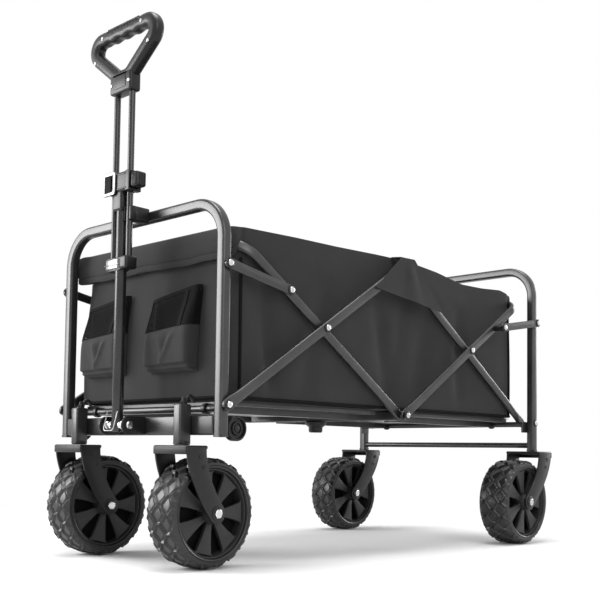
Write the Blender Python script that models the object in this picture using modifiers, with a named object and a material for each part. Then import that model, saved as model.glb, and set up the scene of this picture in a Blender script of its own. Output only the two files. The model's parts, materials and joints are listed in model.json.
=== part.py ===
"""Folding camp wagon: scissor-folded steel frame, fabric tub, pull handle and four wheels.

Units are metres. +X points to the rear, +Z up, the ground is z = 0 and the left side is -Y.
"""
import math

import bmesh
import bpy
from mathutils import Matrix, Vector

# Clearances
SEAT = 0.0004
LAYER_GAP = 0.0008
PIN_CLEARANCE = 0.0004
WELD = 0.00001
CUT_OVERRUN = 0.006

# Wheels and forks
WHEEL_RADIUS = 0.089
TYRE_WIDTH = 0.068
TYRE_SHOULDER = 0.012
TYRE_CROWN = 0.0025
RIM_RADIUS = 0.070
RIM_WIDTH = 0.058
RIM_WALL = 0.006
WEB_HALF = 0.014
HUB_RADIUS = 0.017
HUB_LENGTH = 0.072
AXLE_RADIUS = 0.005
AXLE_HEAD_RADIUS = 0.008
AXLE_HEAD = 0.004
WINDOW_COUNT = 7
WINDOW_INNER = 0.023
WINDOW_MARGIN = 0.002
WINDOW_SHARE = 0.52
FORK_GAP = 0.001
FORK_LEG = 0.004
FORK_PLATE = 0.006
FORK_PLATE_FRONT = 0.025
FORK_PLATE_BACK = 0.0205
REAR_PLATE_LEAD = 0.0144
REAR_PLATE_TAIL = 0.0416
FORK_LEG_TOP_FRONT = 0.022
FORK_BOSS_RADIUS = 0.0165
FORK_RISE = 0.0125
FORK_EDGE = 0.0025
FORK_LEAD_BACK = 0.8
FORK_LEAD_DROP = 0.6
FORK_LEAD_CURVE = 1.7
FORK_TAIL_BACK = 0.9
FORK_TAIL_RISE = 0.45
FORK_TAIL_CURVE = 1.9
FORK_BOSS_START = 233.0
FORK_BOSS_STOP = 387.0
FORK_CURVE_STEPS = 8
FRONT_TRAIL = 0.042
REAR_TRAIL = -0.0786
FRONT_TRACK_HALF = 0.142
STEM_SIDE = 0.017
STEM_DEPTH = 0.024
STEM_TOP = 0.262
STEM_EDGE = 0.0025

# Frame
HALF_LENGTH = 0.450
FRONT_POST_HALF = 0.210
POST_SIDE = 0.018
POST_CORNER = 0.0045
U_BEND = 0.060
FRONT_U_TOP = 0.593
REAR_U_TOP = 0.612
FRONT_POST_BOTTOM = 0.210
CROSSBAR_BOTTOM = 0.213
CROSSBAR_HEIGHT = 0.031
CROSSBAR_DEPTH = 0.018
CROSSBAR_EDGE = 0.0015
REAR_CROSSBAR_RADIUS = 0.006
REAR_CROSSBAR_Z = 0.210
ROD_RADIUS = 0.006
ROD_INSET = 0.022
ROD_DROP = 0.004
LUG_THICK = 0.004
LUG_RISE = 0.008
LUG_PAST = 0.0023
LUG_OVERLAP = 0.0025
FRONT_LUG_BOTTOM = 0.2455
REAR_LUG_BOTTOM = 0.238
ROLLER_RADIUS = 0.020
ROLLER_WIDTH = 0.014
ROLLER_DROP = 0.036
ROLLER_EDGE = 0.003

# Scissor bars
PIVOT_Z = 0.260
PIVOT_RISE = 0.1425
FOLDED_ANGLE = math.radians(75.0)
BAR_WIDTH = 0.016
BAR_THICK = 0.010
BAR_EDGE = 0.0022
HOOP_CORNER = 0.0045
HOOP_SHORT = 0.036
HOOP_BEND = 0.045
LINK_REACH = 0.102
LINK_THICK = 0.006
PIN_RADIUS = 0.004
PIN_HEAD_RADIUS = 0.0065
PIN_HEAD = 0.0028
SPACER_RADIUS = 0.006

# Floor
BEAM_SIDE = 0.018
BEAM_EDGE = 0.002
HUB_FOOT_RADIUS = 0.024
HUB_FOOT_HEIGHT = 0.022
HUB_FOOT_EDGE = 0.003
FLOOR_END_GAP = 0.034
FLOOR_HALF_WIDTH = 0.192
FLOOR_THICK = 0.005
FLOOR_OVERLAP = 0.001
RAIL_SIDE = 0.012
RAIL_SPREAD = 0.150

# Handle
HANDLE_FORWARD = 0.034
HANDLE_PIVOT_Z = 0.229
HANDLE_TUBE_RADIUS = 0.0095
HANDLE_TUBE_BOTTOM = 0.218
HANDLE_TUBE_SHORT = 0.007
BRACKET_HALF = 0.033
BRACKET_CHEEK = 0.004
BRACKET_BASE = 0.003
BRACKET_HEIGHT = 0.030
SLEEVE_RADIUS = 0.007
ROD_SPREAD = 0.0205
SLIDE_ROD_RADIUS = 0.0055
COLLAR_ABOVE_DOCK = 0.0245
COLLAR_HEIGHT = 0.034
COLLAR_HALF_WIDTH = 0.0335
COLLAR_HALF_DEPTH = 0.0130
SLIDE_COLLAR_BELOW_DOCK = 0.061
SLIDE_COLLAR_HEIGHT = 0.023
SLIDE_COLLAR_HALF_WIDTH = 0.0295
SLIDE_COLLAR_HALF_DEPTH = 0.0130
SLIDE_COLLAR_FLOOR = 0.005
COLLAR_EDGE = 0.004
BUTTON_TRAVEL = 0.004
BUTTON_POCKET = 0.006
BUTTON_DEPTH = 0.019
BUTTON_WIDTH = 0.020
BUTTON_HEIGHT = 0.025
BUTTON_EDGE = 0.0012
DOCK_HALF_WIDTH = 0.011
DOCK_HALF_HEIGHT = 0.012
DOCK_REACH = 0.006
DOCK_EDGE = 0.002
GRIP_ABOVE_COLLAR = 0.1385
GRIP_NECK_HEIGHT = 0.041
GRIP_NECK_HALF_WIDTH = 0.029
GRIP_NECK_HALF_DEPTH = 0.0115
GRIP_NECK_EDGE = 0.004
GRIP_BAR_RADIUS = 0.0115
GRIP_HEIGHT = 0.123
GRIP_UPPER_HALF = 0.063
GRIP_UPPER_BEND = 0.019
GRIP_LOWER_HALF = 0.0147
GRIP_LOWER_BEND = 0.014

# Fabric tub
CLOTH = 0.006
BAG_BOTTOM = 0.2735
BAG_END_INSET = 0.046
BAG_END_TOP = 0.490
BAG_TOP_CORNER = 0.546
BAG_TOP_MIDDLE = 0.561
BAG_NOTCH = 0.034
FLAP_THICK = 0.003
FLAP_HALF = 0.095
FLAP_DROP = 0.066
FLAP_CREST = 0.017
POCKET_DEPTH = 0.026
POCKET_INNER = 0.040
POCKET_OUTER = 0.180
POCKET_BOTTOM = 0.288
POCKET_TOP = 0.425
POCKET_EDGE = 0.008

# Places worked out from the driving sizes
MIDDLE_X = (CROSSBAR_DEPTH / 2 + SEAT + STEM_DEPTH / 2 - FRONT_TRAIL + WHEEL_RADIUS - REAR_PLATE_LEAD) / 2
FRONT_X = MIDDLE_X - HALF_LENGTH
REAR_X = MIDDLE_X + HALF_LENGTH
FRONT_CROSS_X = MIDDLE_X - HALF_LENGTH / 2
REAR_CROSS_X = MIDDLE_X + HALF_LENGTH / 2
REST_ANGLE = math.atan2(PIVOT_RISE, HALF_LENGTH / 2)
HALF_BAR = math.hypot(HALF_LENGTH / 2, PIVOT_RISE)
CROSS_Z = PIVOT_Z + PIVOT_RISE
TOP_Z = PIVOT_Z + 2 * PIVOT_RISE
ARM_Y = FRONT_POST_HALF + POST_SIDE / 2 + LAYER_GAP + BAR_THICK / 2
INNER_Y = ARM_Y - BAR_THICK - LAYER_GAP
REAR_POST_HALF = ARM_Y + BAR_THICK / 2 + LAYER_GAP + POST_SIDE / 2
FRONT_LINK_Y = FRONT_POST_HALF + POST_SIDE / 2 + LAYER_GAP + LINK_THICK / 2
REAR_LINK_Y = REAR_POST_HALF + POST_SIDE / 2 + LAYER_GAP + LINK_THICK / 2
LINK_HEIGHT = (2 * HALF_BAR * LINK_REACH * (math.sin(FOLDED_ANGLE) + math.sin(REST_ANGLE))
               / (HALF_BAR + LINK_REACH))
FORK_INNER_HALF = HUB_LENGTH / 2 + FORK_GAP
FORK_OUTER_HALF = FORK_INNER_HALF + FORK_LEG
FORK_PLATE_BOTTOM = 2 * WHEEL_RADIUS + FORK_RISE
FORK_TOP = FORK_PLATE_BOTTOM + FORK_PLATE
CROSSBAR_FRONT_X = FRONT_X - CROSSBAR_DEPTH / 2
STEM_X = CROSSBAR_FRONT_X - SEAT - STEM_DEPTH / 2
HANDLE_X = CROSSBAR_FRONT_X - HANDLE_FORWARD
ROD_Z = PIVOT_Z - ROD_DROP
FLOOR_LENGTH = HALF_LENGTH - ROD_INSET - BEAM_SIDE / 2 - FLOOR_END_GAP
DOCK_Z = FRONT_U_TOP - POST_SIDE / 2
COLLAR_BOTTOM = DOCK_Z + DOCK_HALF_HEIGHT + COLLAR_ABOVE_DOCK
COLLAR_TOP = COLLAR_BOTTOM + COLLAR_HEIGHT
HANDLE_TUBE_TOP = COLLAR_TOP - HANDLE_TUBE_SHORT
SLIDE_COLLAR_TOP = DOCK_Z - DOCK_HALF_HEIGHT - SLIDE_COLLAR_BELOW_DOCK
SLIDE_COLLAR_BOTTOM = SLIDE_COLLAR_TOP - SLIDE_COLLAR_HEIGHT
GRIP_NECK_BOTTOM = COLLAR_TOP + GRIP_ABOVE_COLLAR
GRIP_TOP = GRIP_NECK_BOTTOM + GRIP_HEIGHT
BAG_SIDE_Y = INNER_Y - BAR_THICK / 2 - LAYER_GAP

ROUND_STEPS = 12
TUBE_STEPS = 20
BEND_STEPS = 8
TYRE_STEPS = 32
SMOOTH_ANGLE = math.radians(35)
BEVEL_ANGLE = math.radians(40)

wagon = bpy.data.collections.new("folding_camp_wagon")
tools = bpy.data.collections.new("cutters_and_guides")


def clear_scene():
    """Start from an empty scene that holds the two collections."""
    for obj in list(bpy.data.objects):
        bpy.data.objects.remove(obj, do_unlink=True)
    bpy.context.scene.collection.children.link(wagon)
    bpy.context.scene.collection.children.link(tools)


def finish(name, colour, roughness, metallic):
    """A plain Principled material."""
    mat = bpy.data.materials.new(name)
    mat.use_nodes = True
    shader = mat.node_tree.nodes["Principled BSDF"]
    shader.inputs["Base Color"].default_value = (*colour, 1.0)
    shader.inputs["Roughness"].default_value = roughness
    shader.inputs["Metallic"].default_value = metallic
    return mat


def add_part(name, data, mat):
    """Link a mesh or curve to the wagon as a named part."""
    obj = bpy.data.objects.new(name, data)
    data.materials.clear()
    data.materials.append(mat)
    wagon.objects.link(obj)
    return obj


def add_tool(name, data):
    """Link a cutter or guide, kept out of the model."""
    obj = bpy.data.objects.new(name, data)
    obj.hide_render = True
    obj.display_type = "WIRE"
    tools.objects.link(obj)
    return obj


def smooth(mesh):
    """Shade round faces smooth and keep hard edges sharp."""
    mesh.shade_smooth()
    mesh.set_sharp_from_angle(angle=SMOOTH_ANGLE)


def mesh_from(bm, name):
    """Turn a bmesh into mesh data."""
    bmesh.ops.recalc_face_normals(bm, faces=bm.faces)
    mesh = bpy.data.meshes.new(name)
    bm.to_mesh(mesh)
    bm.free()
    smooth(mesh)
    return mesh


def box_mesh(name, low, high):
    """A box between two corners."""
    low = Vector(low)
    high = Vector(high)
    bm = bmesh.new()
    place = Matrix.Translation((low + high) / 2) @ Matrix.Diagonal(high - low).to_4x4()
    bmesh.ops.create_cube(bm, size=1.0, matrix=place)
    return mesh_from(bm, name)


def rod_mesh(name, start, end, radius, steps=ROUND_STEPS):
    """A round bar between two points."""
    start = Vector(start)
    run = Vector(end) - start
    turn = run.to_track_quat("Z", "Y").to_matrix().to_4x4()
    bm = bmesh.new()
    bmesh.ops.create_cone(bm, cap_ends=True, segments=steps, radius1=radius, radius2=radius, depth=run.length,
                          matrix=Matrix.Translation(start + run / 2) @ turn)
    return mesh_from(bm, name)


def bevel(obj, width, segments=2):
    """Round the hard edges of a part."""
    mod = obj.modifiers.new("rounded", "BEVEL")
    mod.width = width
    mod.segments = segments
    mod.limit_method = "ANGLE"
    mod.angle_limit = BEVEL_ANGLE
    return obj


def evaluated_mesh(obj, name):
    """The object's mesh in world space, with its modifiers applied and its caps welded."""
    bpy.context.view_layer.update()
    graph = bpy.context.evaluated_depsgraph_get()
    mesh = bpy.data.meshes.new_from_object(obj.evaluated_get(graph), depsgraph=graph)
    mesh.transform(obj.matrix_world)
    bm = bmesh.new()
    bm.from_mesh(mesh)
    bmesh.ops.remove_doubles(bm, verts=bm.verts, dist=WELD)
    bpy.data.meshes.remove(mesh)
    return mesh_from(bm, name)


def plain_mesh(obj):
    """Replace a temporary object by its evaluated mesh."""
    mesh = evaluated_mesh(obj, obj.name + "_mesh")
    bpy.data.objects.remove(obj, do_unlink=True)
    return mesh


def boolean(obj, tool, operation):
    """Cut an object by a tool, or join the tool to it."""
    mod = obj.modifiers.new(operation.lower(), "BOOLEAN")
    mod.operation = operation
    mod.solver = "EXACT"
    mod.object = tool
    return obj


def combined(name, base, joined=(), cut=()):
    """Mesh data of a base mesh with other meshes joined to it and others cut from it."""
    obj = add_tool(name + "_base", base)
    for mesh in joined:
        boolean(obj, add_tool(name + "_joined", mesh), "UNION")
    for mesh in cut:
        boolean(obj, add_tool(name + "_cut", mesh), "DIFFERENCE")
    return plain_mesh(obj)


def arc(centre, radius, start, stop, count):
    """Points of an arc in a plane, angles in degrees."""
    points = []
    for i in range(count + 1):
        angle = math.radians(start + (stop - start) * i / count)
        points.append((centre[0] + radius * math.cos(angle), centre[1] + radius * math.sin(angle)))
    return points


def outline_mesh(name, loops, y, thick):
    """A flat outline in X and Z, with holes as further loops, extruded along Y about y."""
    curve = bpy.data.curves.new(name, "CURVE")
    curve.dimensions = "2D"
    curve.fill_mode = "BOTH"
    curve.extrude = thick / 2
    for loop in loops:
        spline = curve.splines.new("POLY")
        spline.points.add(len(loop) - 1)
        for point, (x, z) in zip(spline.points, loop):
            point.co = (x, z, 0, 1)
        spline.use_cyclic_u = True
    obj = add_tool(name, curve)
    obj.matrix_world = Matrix.Translation((0, y, 0)) @ Matrix.Rotation(math.pi / 2, 4, "X")
    return plain_mesh(obj)


def stadium(start, end, width):
    """A bar outline with round ends, in X and Z."""
    heading = math.degrees(math.atan2(end[1] - start[1], end[0] - start[0]))
    return (arc(end, width / 2, heading - 90, heading + 90, 6)
            + arc(start, width / 2, heading + 90, heading + 270, 6))


def circle(centre, radius):
    """A round hole in X and Z."""
    return arc(centre, radius, 0, 360, ROUND_STEPS)[:-1]


def swept_mesh(name, points, size_u, size_v, corner, cyclic=False):
    """A tube of rounded rectangular section swept along points."""
    guide = bpy.data.curves.new(name + "_section", "CURVE")
    guide.dimensions = "2D"
    half_u = size_u / 2 - corner
    half_v = size_v / 2 - corner
    loop = (arc((half_u, half_v), corner, 0, 90, 2) + arc((-half_u, half_v), corner, 90, 180, 2)
            + arc((-half_u, -half_v), corner, 180, 270, 2) + arc((half_u, -half_v), corner, 270, 360, 2))
    spline = guide.splines.new("POLY")
    spline.points.add(len(loop) - 1)
    for point, (u, v) in zip(spline.points, loop):
        point.co = (u, v, 0, 1)
    spline.use_cyclic_u = True
    section = add_tool(name + "_section", guide)
    curve = bpy.data.curves.new(name, "CURVE")
    curve.dimensions = "3D"
    curve.twist_mode = "MINIMUM"
    curve.bevel_mode = "OBJECT"
    curve.bevel_object = section
    curve.use_fill_caps = True
    path = curve.splines.new("POLY")
    path.points.add(len(points) - 1)
    for point, place in zip(path.points, points):
        point.co = (*place, 1)
    path.use_cyclic_u = cyclic
    return plain_mesh(add_tool(name, curve))


def turned_mesh(name, profile, centre, steps):
    """A closed profile of radius and axial place, turned about a Y axis through centre."""
    bm = bmesh.new()
    ring = [bm.verts.new((radius, 0, along)) for radius, along in profile]
    for first, second in zip(ring, ring[1:] + ring[:1]):
        bm.edges.new((first, second))
    mesh = bpy.data.meshes.new(name)
    bm.to_mesh(mesh)
    bm.free()
    obj = add_tool(name, mesh)
    mod = obj.modifiers.new("turned", "SCREW")
    mod.steps = steps
    mod.render_steps = steps
    mod.use_merge_vertices = True
    mod.merge_threshold = WELD
    obj.matrix_world = Matrix.Translation(centre) @ Matrix.Rotation(-math.pi / 2, 4, "X")
    return plain_mesh(obj)


def side_name(side):
    """Left is -Y, right is +Y."""
    return "left" if side < 0 else "right"


def u_points(x, half, bottom, top):
    """Centre line of an upside-down U in the plane of x."""
    reach = half - U_BEND
    left = [(x, y, z) for y, z in arc((-reach, top - U_BEND), U_BEND, 180, 90, BEND_STEPS)]
    right = [(x, y, z) for y, z in arc((reach, top - U_BEND), U_BEND, 90, 0, BEND_STEPS)]
    return [(x, -half, bottom)] + left + right + [(x, half, bottom)]


def hoop_points(y, toward, start_over):
    """Centre line of a hoop: up one side, across at the top and down the other side."""
    run = Vector((toward * math.cos(REST_ANGLE), 0, math.sin(REST_ANGLE)))
    start = Vector((MIDDLE_X, 0, PIVOT_Z))
    length = 2 * HALF_BAR - HOOP_SHORT
    reach = y - HOOP_BEND
    flat = [(-y, -start_over)]
    flat += arc((-reach, length - HOOP_BEND), HOOP_BEND, 180, 90, BEND_STEPS)
    flat += arc((reach, length - HOOP_BEND), HOOP_BEND, 90, 0, BEND_STEPS)
    flat.append((y, -start_over))
    return [tuple(start + run * along + Vector((0, across, 0))) for across, along in flat]


def stud_mesh(name, x, z, inner, outer, head):
    """A pin along Y from inner to outer, with a head beyond outer when head is true."""
    sign = 1 if outer > inner else -1
    shank = rod_mesh(name, (x, inner, z), (x, outer + sign * PIN_HEAD * head, z), PIN_RADIUS)
    if not head:
        return [shank]
    top = rod_mesh(name + "_head", (x, outer + sign * SEAT, z), (x, outer + sign * (SEAT + PIN_HEAD), z),
                   PIN_HEAD_RADIUS)
    return [shank, top]


def hole_mesh(name, x, z, y, thick):
    """A cutter for a pin hole through a bar."""
    return rod_mesh(name, (x, y - thick, z), (x, y + thick, z), PIN_RADIUS + PIN_CLEARANCE)


def make_frames(steel):
    """The two U frames with the cross members that hold them square."""
    front_line = u_points(FRONT_X, FRONT_POST_HALF, FRONT_POST_BOTTOM, FRONT_U_TOP - POST_SIDE / 2)
    front = swept_mesh("front_u", front_line, POST_SIDE, POST_SIDE, POST_CORNER)
    add_part("front_u_frame", front, steel)
    rear_line = u_points(REAR_X, REAR_POST_HALF, FORK_TOP + SEAT, REAR_U_TOP - POST_SIDE / 2)
    rear = swept_mesh("rear_u", rear_line, POST_SIDE, POST_SIDE, POST_CORNER)
    add_part("rear_u_frame", rear, steel)
    reach = FRONT_POST_HALF - POST_SIDE / 2 - SEAT
    bar = add_part("front_crossbar",
                   box_mesh("front_crossbar", (FRONT_X - CROSSBAR_DEPTH / 2, -reach, CROSSBAR_BOTTOM),
                            (FRONT_X + CROSSBAR_DEPTH / 2, reach, CROSSBAR_BOTTOM + CROSSBAR_HEIGHT)), steel)
    bevel(bar, CROSSBAR_EDGE)
    rear_reach = REAR_POST_HALF - POST_SIDE / 2 - SEAT
    add_part("rear_crossbar", rod_mesh("rear_crossbar", (REAR_X, -rear_reach, REAR_CROSSBAR_Z),
                                       (REAR_X, rear_reach, REAR_CROSSBAR_Z), REAR_CROSSBAR_RADIUS), steel)
    lug_top = ROD_Z - ROD_RADIUS + LUG_OVERLAP
    for name, x, post_x, half, bottom, top in (
            ("front_floor_rod", FRONT_X + ROD_INSET, FRONT_X, reach, FRONT_LUG_BOTTOM,
             FRONT_LUG_BOTTOM + LUG_RISE),
            ("rear_floor_rod", REAR_X - ROD_INSET, REAR_X, rear_reach, REAR_LUG_BOTTOM, lug_top)):
        rod_end = half - LUG_THICK / 2
        past = x + LUG_PAST if x > post_x else x - LUG_PAST
        rod = rod_mesh(name, (x, -rod_end, ROD_Z), (x, rod_end, ROD_Z), ROD_RADIUS)
        lugs = []
        for side in (-1, 1):
            inner = side * (half - LUG_THICK)
            lugs.append(box_mesh(name + "_lug", (min(past, post_x), min(inner, side * half), bottom),
                                 (max(past, post_x), max(inner, side * half), top)))
        add_part(name, combined(name, rod, lugs), steel)


def make_stems_and_rollers(steel, rubber):
    """Caster stems in front of the front crossbar, and the stand rollers behind the posts."""
    for side in (-1, 1):
        y = side * FRONT_TRACK_HALF
        half = STEM_SIDE / 2
        deep = STEM_DEPTH / 2
        stem = add_part(f"front_stem_{side_name(side)}",
                        box_mesh("stem", (STEM_X - deep, y - half, FORK_TOP + SEAT),
                                 (STEM_X + deep, y + half, STEM_TOP)), steel)
        bevel(stem, STEM_EDGE)
        x = FRONT_X + POST_SIDE / 2 + SEAT + ROLLER_RADIUS
        z = PIVOT_Z - ROLLER_DROP
        y = side * FRONT_POST_HALF
        roller = add_part(f"stand_roller_{side_name(side)}",
                          rod_mesh("roller", (x, y - ROLLER_WIDTH / 2, z), (x, y + ROLLER_WIDTH / 2, z),
                                   ROLLER_RADIUS, TUBE_STEPS), rubber)
        bevel(roller, ROLLER_EDGE, 1)


def make_arms(steel):
    """Front arms on the front posts and rear arms on the rear posts."""
    for side in (-1, 1):
        name = f"front_arm_{side_name(side)}"
        loops = [stadium((FRONT_X, PIVOT_Z), (MIDDLE_X, TOP_Z), BAR_WIDTH),
                 circle((FRONT_CROSS_X, CROSS_Z), PIN_RADIUS + PIN_CLEARANCE)]
        bar = add_tool(name + "_bar", outline_mesh(name, loops, side * ARM_Y, BAR_THICK))
        mesh = plain_mesh(bevel(bar, BAR_EDGE))
        pins = stud_mesh(name + "_pin", MIDDLE_X, TOP_Z, side * (ARM_Y - BAR_THICK / 4),
                         side * (INNER_Y - BAR_THICK / 2 - LAYER_GAP / 2), False)
        add_part(name, combined(name, mesh, pins), steel)
        name = f"rear_arm_{side_name(side)}"
        loops = [stadium((MIDDLE_X, TOP_Z), (REAR_X, PIVOT_Z), BAR_WIDTH),
                 circle((MIDDLE_X, TOP_Z), PIN_RADIUS + PIN_CLEARANCE)]
        bar = add_tool(name + "_bar", outline_mesh(name, loops, side * INNER_Y, BAR_THICK))
        mesh = plain_mesh(bevel(bar, BAR_EDGE))
        pins = stud_mesh(name + "_pin", REAR_CROSS_X, CROSS_Z, side * (INNER_Y + BAR_THICK / 4),
                         side * (ARM_Y + BAR_THICK / 2), True)
        boss_end = side * (REAR_POST_HALF - POST_SIDE / 2 - SEAT)
        boss = rod_mesh(name + "_boss", (REAR_X, side * (INNER_Y + BAR_THICK / 4), PIVOT_Z),
                        (REAR_X, boss_end, PIVOT_Z), BAR_WIDTH / 2 - BAR_EDGE)
        add_part(name, combined(name, mesh, pins + [boss]), steel)


def make_hoops(steel):
    """The hoops: a pair of scissor bars joined across the tub's front and rear edge."""
    over = BAR_WIDTH / 2
    front = swept_mesh("front_hoop_tube", hoop_points(INNER_Y, -1, over), BAR_THICK, BAR_WIDTH, HOOP_CORNER)
    rear = swept_mesh("rear_hoop_tube", hoop_points(ARM_Y, 1, over), BAR_THICK, BAR_WIDTH, HOOP_CORNER)
    studs = []
    front_holes = []
    rear_holes = []
    for side in (-1, 1):
        studs += stud_mesh("front_cross_pin", FRONT_CROSS_X, CROSS_Z, side * (INNER_Y + BAR_THICK / 4),
                           side * (ARM_Y + BAR_THICK / 2), True)
        front_holes.append(hole_mesh("front_middle_hole", MIDDLE_X, PIVOT_Z, side * INNER_Y, BAR_THICK))
        rear_holes.append(hole_mesh("rear_middle_hole", MIDDLE_X, PIVOT_Z, side * ARM_Y, BAR_THICK))
        rear_holes.append(hole_mesh("rear_cross_hole", REAR_CROSS_X, CROSS_Z, side * ARM_Y, BAR_THICK))
    add_part("front_hoop", combined("front_hoop", front, studs, front_holes), steel)
    add_part("rear_hoop", combined("rear_hoop", rear, (), rear_holes), steel)


def make_links(steel, plastic):
    """Short links from each post to the hoop beside it, and the spacers under the rear ones."""
    reach_x = (HALF_BAR - LINK_REACH) * math.cos(REST_ANGLE)
    reach_z = (HALF_BAR + LINK_REACH) * math.sin(REST_ANGLE)
    for side in (-1, 1):
        for end, x, sign, y in (("front", FRONT_X, 1, FRONT_LINK_Y), ("rear", REAR_X, -1, REAR_LINK_Y)):
            loop = stadium((x, PIVOT_Z + LINK_HEIGHT), (x + sign * reach_x, PIVOT_Z + reach_z), BAR_WIDTH)
            link = add_part(f"{end}_link_{side_name(side)}",
                            outline_mesh("link", [loop], side * y, LINK_THICK), steel)
            bevel(link, BAR_EDGE / 2)
        x = REAR_X - reach_x
        z = PIVOT_Z + reach_z
        add_part(f"link_spacer_{side_name(side)}",
                 rod_mesh("spacer", (x, side * (ARM_Y + BAR_THICK / 2 + SEAT), z),
                          (x, side * (REAR_LINK_Y - LINK_THICK / 2 - SEAT), z), SPACER_RADIUS), plastic)


def make_floor(steel, board):
    """The middle beam with its foot, and the two floor boards that swing up from the end rods."""
    half = BEAM_SIDE / 2
    reach = INNER_Y - BAR_THICK / 2 - SEAT
    beam = add_tool("beam_box", box_mesh("beam", (MIDDLE_X - half, -reach, PIVOT_Z - half),
                                         (MIDDLE_X + half, reach, PIVOT_Z + half)))
    mesh = plain_mesh(bevel(beam, BEAM_EDGE, 1))
    pins = []
    for side in (-1, 1):
        pins += stud_mesh("middle_pin", MIDDLE_X, PIVOT_Z, side * (reach - PIN_HEAD),
                          side * (ARM_Y + BAR_THICK / 2), True)
    add_part("middle_beam", combined("middle_beam", mesh, pins), steel)
    top = PIVOT_Z - half - SEAT
    foot = add_part("middle_foot", rod_mesh("foot", (MIDDLE_X, 0, top), (MIDDLE_X, 0, top - HUB_FOOT_HEIGHT),
                                            HUB_FOOT_RADIUS, TUBE_STEPS), board)
    bevel(foot, HUB_FOOT_EDGE, 1)
    for name, x, sign in (("floor_board_front", FRONT_X + ROD_INSET, 1),
                          ("floor_board_rear", REAR_X - ROD_INSET, -1)):
        near = x + sign * (ROD_RADIUS + SEAT)
        far = x + sign * FLOOR_LENGTH
        rail_top = ROD_Z + RAIL_SIDE / 2
        panel = box_mesh(name, (min(near, far), -FLOOR_HALF_WIDTH, rail_top - FLOOR_OVERLAP),
                         (max(near, far), FLOOR_HALF_WIDTH, rail_top + FLOOR_THICK))
        rails = []
        for side in (-1, 1):
            middle = side * RAIL_SPREAD
            rails.append(box_mesh(name + "_rail",
                                  (min(near, far), middle - RAIL_SIDE / 2, ROD_Z - RAIL_SIDE / 2),
                                  (max(near, far), middle + RAIL_SIDE / 2, rail_top)))
        add_part(name, combined(name, panel, rails), board)


def fork_mesh(x, y, trail, lead_reach, tail_reach):
    """A fork: a top plate under the stem and two curved legs down to the axle."""
    sign = 1 if trail > 0 else -1
    front = x - sign * lead_reach
    back = x + sign * tail_reach
    plate = add_tool("fork_plate", box_mesh("fork_plate",
                                            (min(front, back), y - FORK_OUTER_HALF, FORK_PLATE_BOTTOM),
                                            (max(front, back), y + FORK_OUTER_HALF, FORK_TOP)))
    top = plain_mesh(bevel(plate, FORK_EDGE))
    axle_x = x + trail
    lead_top = x - sign * min(FORK_LEG_TOP_FRONT, lead_reach - FORK_PLATE / 2)
    lead_span = axle_x - sign * FORK_BOSS_RADIUS * FORK_LEAD_BACK - lead_top
    lead_drop = WHEEL_RADIUS - FORK_BOSS_RADIUS * FORK_LEAD_DROP - FORK_PLATE_BOTTOM
    tail_top = x + sign * (tail_reach - FORK_PLATE / 2)
    tail_span = axle_x + sign * FORK_BOSS_RADIUS * FORK_TAIL_BACK - tail_top
    tail_drop = WHEEL_RADIUS + FORK_BOSS_RADIUS * FORK_TAIL_RISE - FORK_PLATE_BOTTOM
    lead = [(lead_top, FORK_PLATE_BOTTOM + FORK_PLATE / 2)]
    tail = [(tail_top, FORK_PLATE_BOTTOM + FORK_PLATE / 2)]
    for i in range(1, FORK_CURVE_STEPS + 1):
        t = i / FORK_CURVE_STEPS
        lead.append((lead_top + lead_span * t ** FORK_LEAD_CURVE, FORK_PLATE_BOTTOM + lead_drop * t))
        tail.insert(0, (tail_top + tail_span * t ** FORK_TAIL_CURVE, FORK_PLATE_BOTTOM + tail_drop * t))
    start = FORK_BOSS_START if sign > 0 else 540 - FORK_BOSS_START
    stop = FORK_BOSS_STOP if sign > 0 else 540 - FORK_BOSS_STOP
    boss = arc((axle_x, WHEEL_RADIUS), FORK_BOSS_RADIUS, start, stop, FORK_CURVE_STEPS)
    legs = []
    for across in (-1, 1):
        middle = y + across * (FORK_INNER_HALF + FORK_LEG / 2)
        loops = [lead + boss[1:-1] + tail, circle((axle_x, WHEEL_RADIUS), AXLE_RADIUS + PIN_CLEARANCE)]
        legs.append(outline_mesh("fork_leg", loops, middle, FORK_LEG))
    return combined("fork", top, legs)


def rim_mesh():
    """A drum rim with a hub and wedge windows through its web, centred on the origin, axis Y."""
    bore = AXLE_RADIUS + PIN_CLEARANCE
    drum = RIM_RADIUS - RIM_WALL
    upper = [(RIM_RADIUS, RIM_WIDTH / 2), (RIM_RADIUS, -RIM_WIDTH / 2), (drum, -RIM_WIDTH / 2),
             (drum, -WEB_HALF), (HUB_RADIUS, -WEB_HALF), (HUB_RADIUS, -HUB_LENGTH / 2),
             (bore, -HUB_LENGTH / 2),
             (bore, HUB_LENGTH / 2), (HUB_RADIUS, HUB_LENGTH / 2), (HUB_RADIUS, WEB_HALF),
             (drum, WEB_HALF), (drum, RIM_WIDTH / 2)]
    body = turned_mesh("rim", upper, (0, 0, 0), TYRE_STEPS)
    outer = drum - WINDOW_MARGIN
    step = 360 / WINDOW_COUNT
    cutters = []
    for i in range(WINDOW_COUNT):
        start = i * step
        stop = start + step * WINDOW_SHARE
        loop = arc((0, 0), outer, start, stop, 3) + arc((0, 0), WINDOW_INNER, stop, start, 1)
        cutters.append(outline_mesh("rim_window", [loop], 0, 3 * WEB_HALF))
    return combined("rim", body, (), cutters)


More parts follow.
